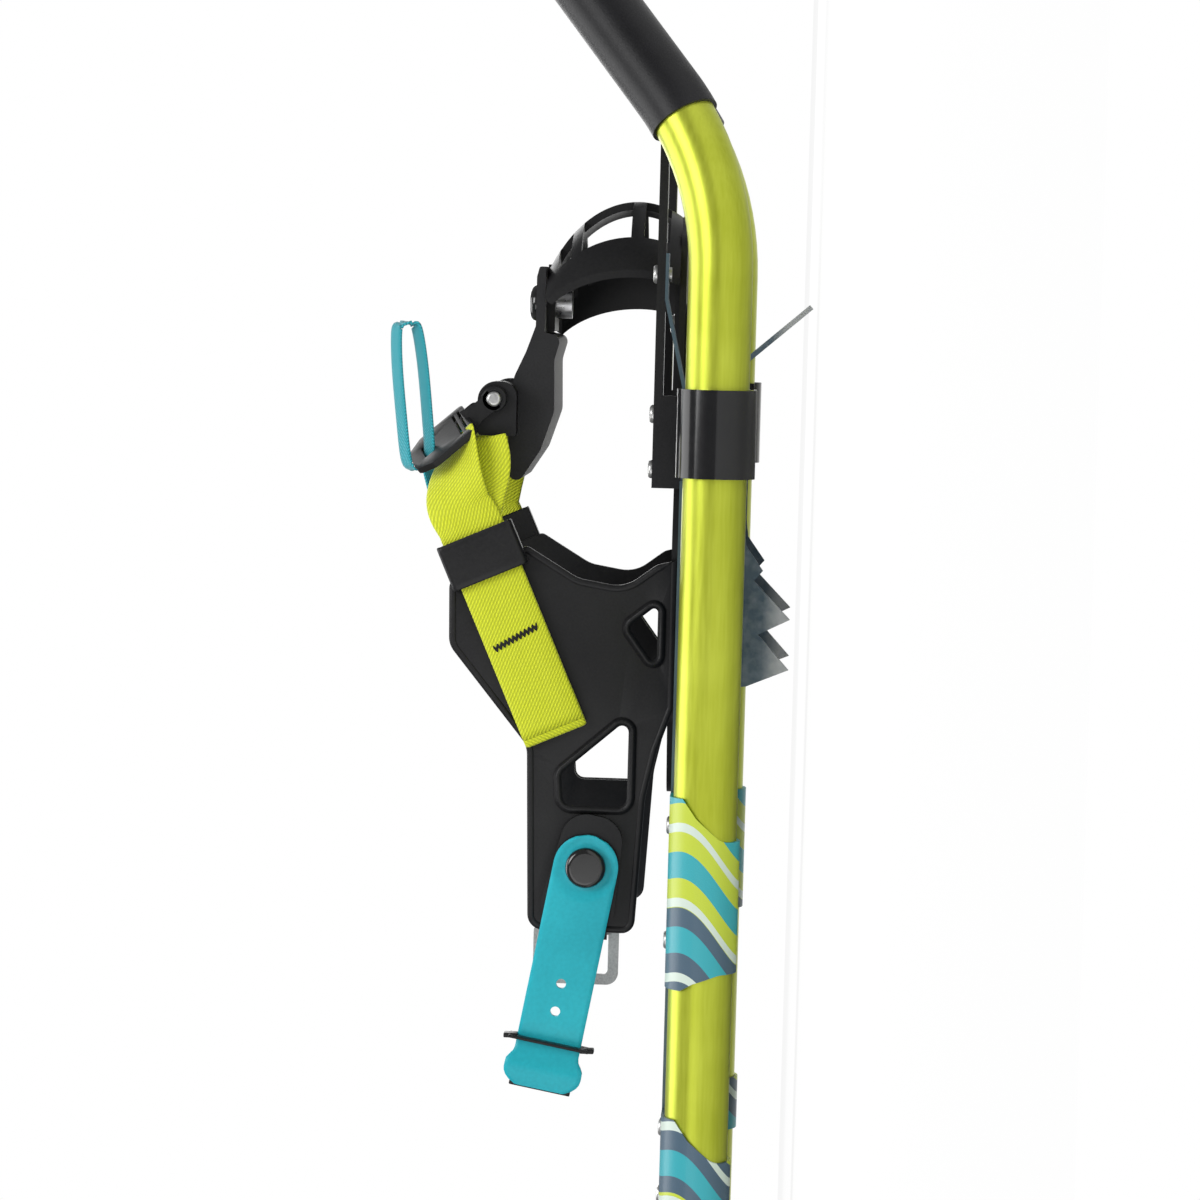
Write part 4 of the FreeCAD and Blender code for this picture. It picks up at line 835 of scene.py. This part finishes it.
for face, y_base in ((0, 55.4), (1, 53.2)):
    for i in range(rows + 1):
        t = i / rows
        distance = -12.4 + 100.2 * t
        half = strap_half(distance)
        for k in range(columns + 1):
            v = -1 + 2 * k / columns
            aside = half * v
            y = y_base
            radial = math.hypot(distance, aside)
            edge = min(half - abs(aside), distance + 12.4 if distance < 0 else 99)
            if face == 0:
                y -= 0.9 * max(0, 1 - abs(radial - 9.2) / 3.2) if radial < 12.4 else 0
                y -= 0.5 * max(0, 1 - edge / 1.0)
            dip = math.exp(-(((distance - 69.5) / 4.2) ** 2))
            flare = max(0.0, min(1.0, (distance - 74) / 5))
            y += -1.0 * dip + flare * (1.6 - 1.1 * ((distance - 81) / 7) ** 2)
            strap_points.append(on_strap(distance, aside, -y))
row_length = columns + 1
layer = (rows + 1) * row_length
holes = ((46, 1.9), (57, 1.9))
for i in range(rows):
    for k in range(columns):
        a = i * row_length + k
        quad = (a, a + 1, a + row_length + 1, a + row_length)
        strap_faces.append(quad)
        strap_faces.append(tuple(layer + q for q in reversed(quad)))
for i in range(rows):
    for k in (0, columns):
        a, b = i * row_length + k, (i + 1) * row_length + k
        strap_faces.append((a, b, layer + b, layer + a) if k else (b, a, layer + a, layer + b))
for k in range(columns):
    for i in (0, rows):
        a = i * row_length + k
        first, second = (a + 1, a) if i == 0 else (a, a + 1)
        strap_faces.append((first, second, layer + second, layer + first))
strap = mesh_piece("heel_strap_body", strap_points, strap_faces)
cutters = bmesh.new()
for distance, radius in holes + ((0, 3.06),):
    centre = on_strap(distance, 0, -54.2)
    bmesh.ops.create_cone(
        cutters, cap_ends=True, segments=24, radius1=radius * MM, radius2=radius * MM, depth=0.012,
        matrix=Matrix.Translation(centre) @ Matrix.Rotation(math.pi / 2, 4, "X"),
    )
cutter_mesh = bpy.data.meshes.new("strap_cutters")
cutters.to_mesh(cutter_mesh)
cutters.free()
cutter = bpy.data.objects.new("strap_cutters", cutter_mesh)
bpy.context.scene.collection.objects.link(cutter)
drill = strap.modifiers.new("holes", "BOOLEAN")
drill.object = cutter
drill.operation = "DIFFERENCE"
drill.solver = "EXACT"
settle(strap)
bpy.data.objects.remove(cutter)
for face in strap.data.polygons:
    face.use_smooth = True
strap.data.set_sharp_from_angle(angle=math.radians(42))
strap_teal = grained(
    "strap_teal", (0.012, 0.36, 0.44), (0.022, 0.47, 0.56), 0.34, 700, 0.00004
)
teal_shader = strap_teal.node_tree.nodes["Principled BSDF"]
teal_shader.inputs["Subsurface Weight"].default_value = 0.08
teal_shader.inputs["Subsurface Radius"].default_value = (0.2, 1.0, 1.0)
teal_shader.inputs["Subsurface Scale"].default_value = 0.002
strap.data.materials.append(strap_teal)
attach(strap, "heel_strap")
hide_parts("heel_strap")

# Strap keeper: a moulded slider behind the lip, with a loop at each edge.
# Its front bar lies in the strap's dip and its back plate holds the free end.
bars = bmesh.new()


def slider_bar(start, end, thick):
    """One softened bar of the slider between two places, thick along each of its own axes."""
    middle = (start + end) / 2
    run = end - start
    turn = run.to_track_quat("X", "Y").to_matrix().to_4x4()
    size = Matrix.Diagonal((run.length + thick[0] * 2 * MM, thick[1] * MM, thick[2] * MM, 1))
    made = bmesh.ops.create_cube(bars, size=1, matrix=Matrix.Translation(middle) @ turn @ size)
    edges = list({e for v in made["verts"] for e in v.link_edges})
    bmesh.ops.bevel(bars, geom=edges, offset=0.0005, segments=3, affect="EDGES", profile=0.6)


for edge_side in (-1, 1):
    front_end, back_end = (on_strap(69.6, edge_side * 15.0, depth) for depth in (-51.9, -56.0))
    slider_bar(front_end, back_end, (0.6, 5.4, 1.8))
slider_bar(on_strap(69.6, -15.4, -51.7), on_strap(69.6, 15.4, -51.7), (0.4, 1.2, 5.6))
slider_bar(on_strap(69.6, -15.4, -56.3), on_strap(69.6, 15.4, -56.3), (0.4, 1.2, 4.6))
slider_bar(on_strap(74, 0, -51.6), on_strap(88.5, 0, -51.6), (0.5, 24, 1.3))
slider_mesh = bpy.data.meshes.new("keeper_slider")
bars.to_mesh(slider_mesh)
bars.free()
slider = bpy.data.objects.new("keeper_slider", slider_mesh)
bpy.context.scene.collection.objects.link(slider)
for face in slider.data.polygons:
    face.use_smooth = True
slider.data.set_sharp_from_angle(angle=math.radians(40))
slider.data.materials.append(buckle_black)
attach(slider, "strap_keeper")
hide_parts("strap_keeper")

# Heel buckle: a cast steel frame and tongue on a rubber tab, on the left side.
# The heel strap's free end goes through it when the shoe is worn.
buckle_steel = grained(
    "buckle_steel", (0.20, 0.20, 0.20), (0.52, 0.52, 0.51), 0.38, 1400, 0.00012, 0.85
)
for node_name in ("heel_buckle_frame", "heel_buckle_tongue"):
    dress(node_name, buckle_steel)
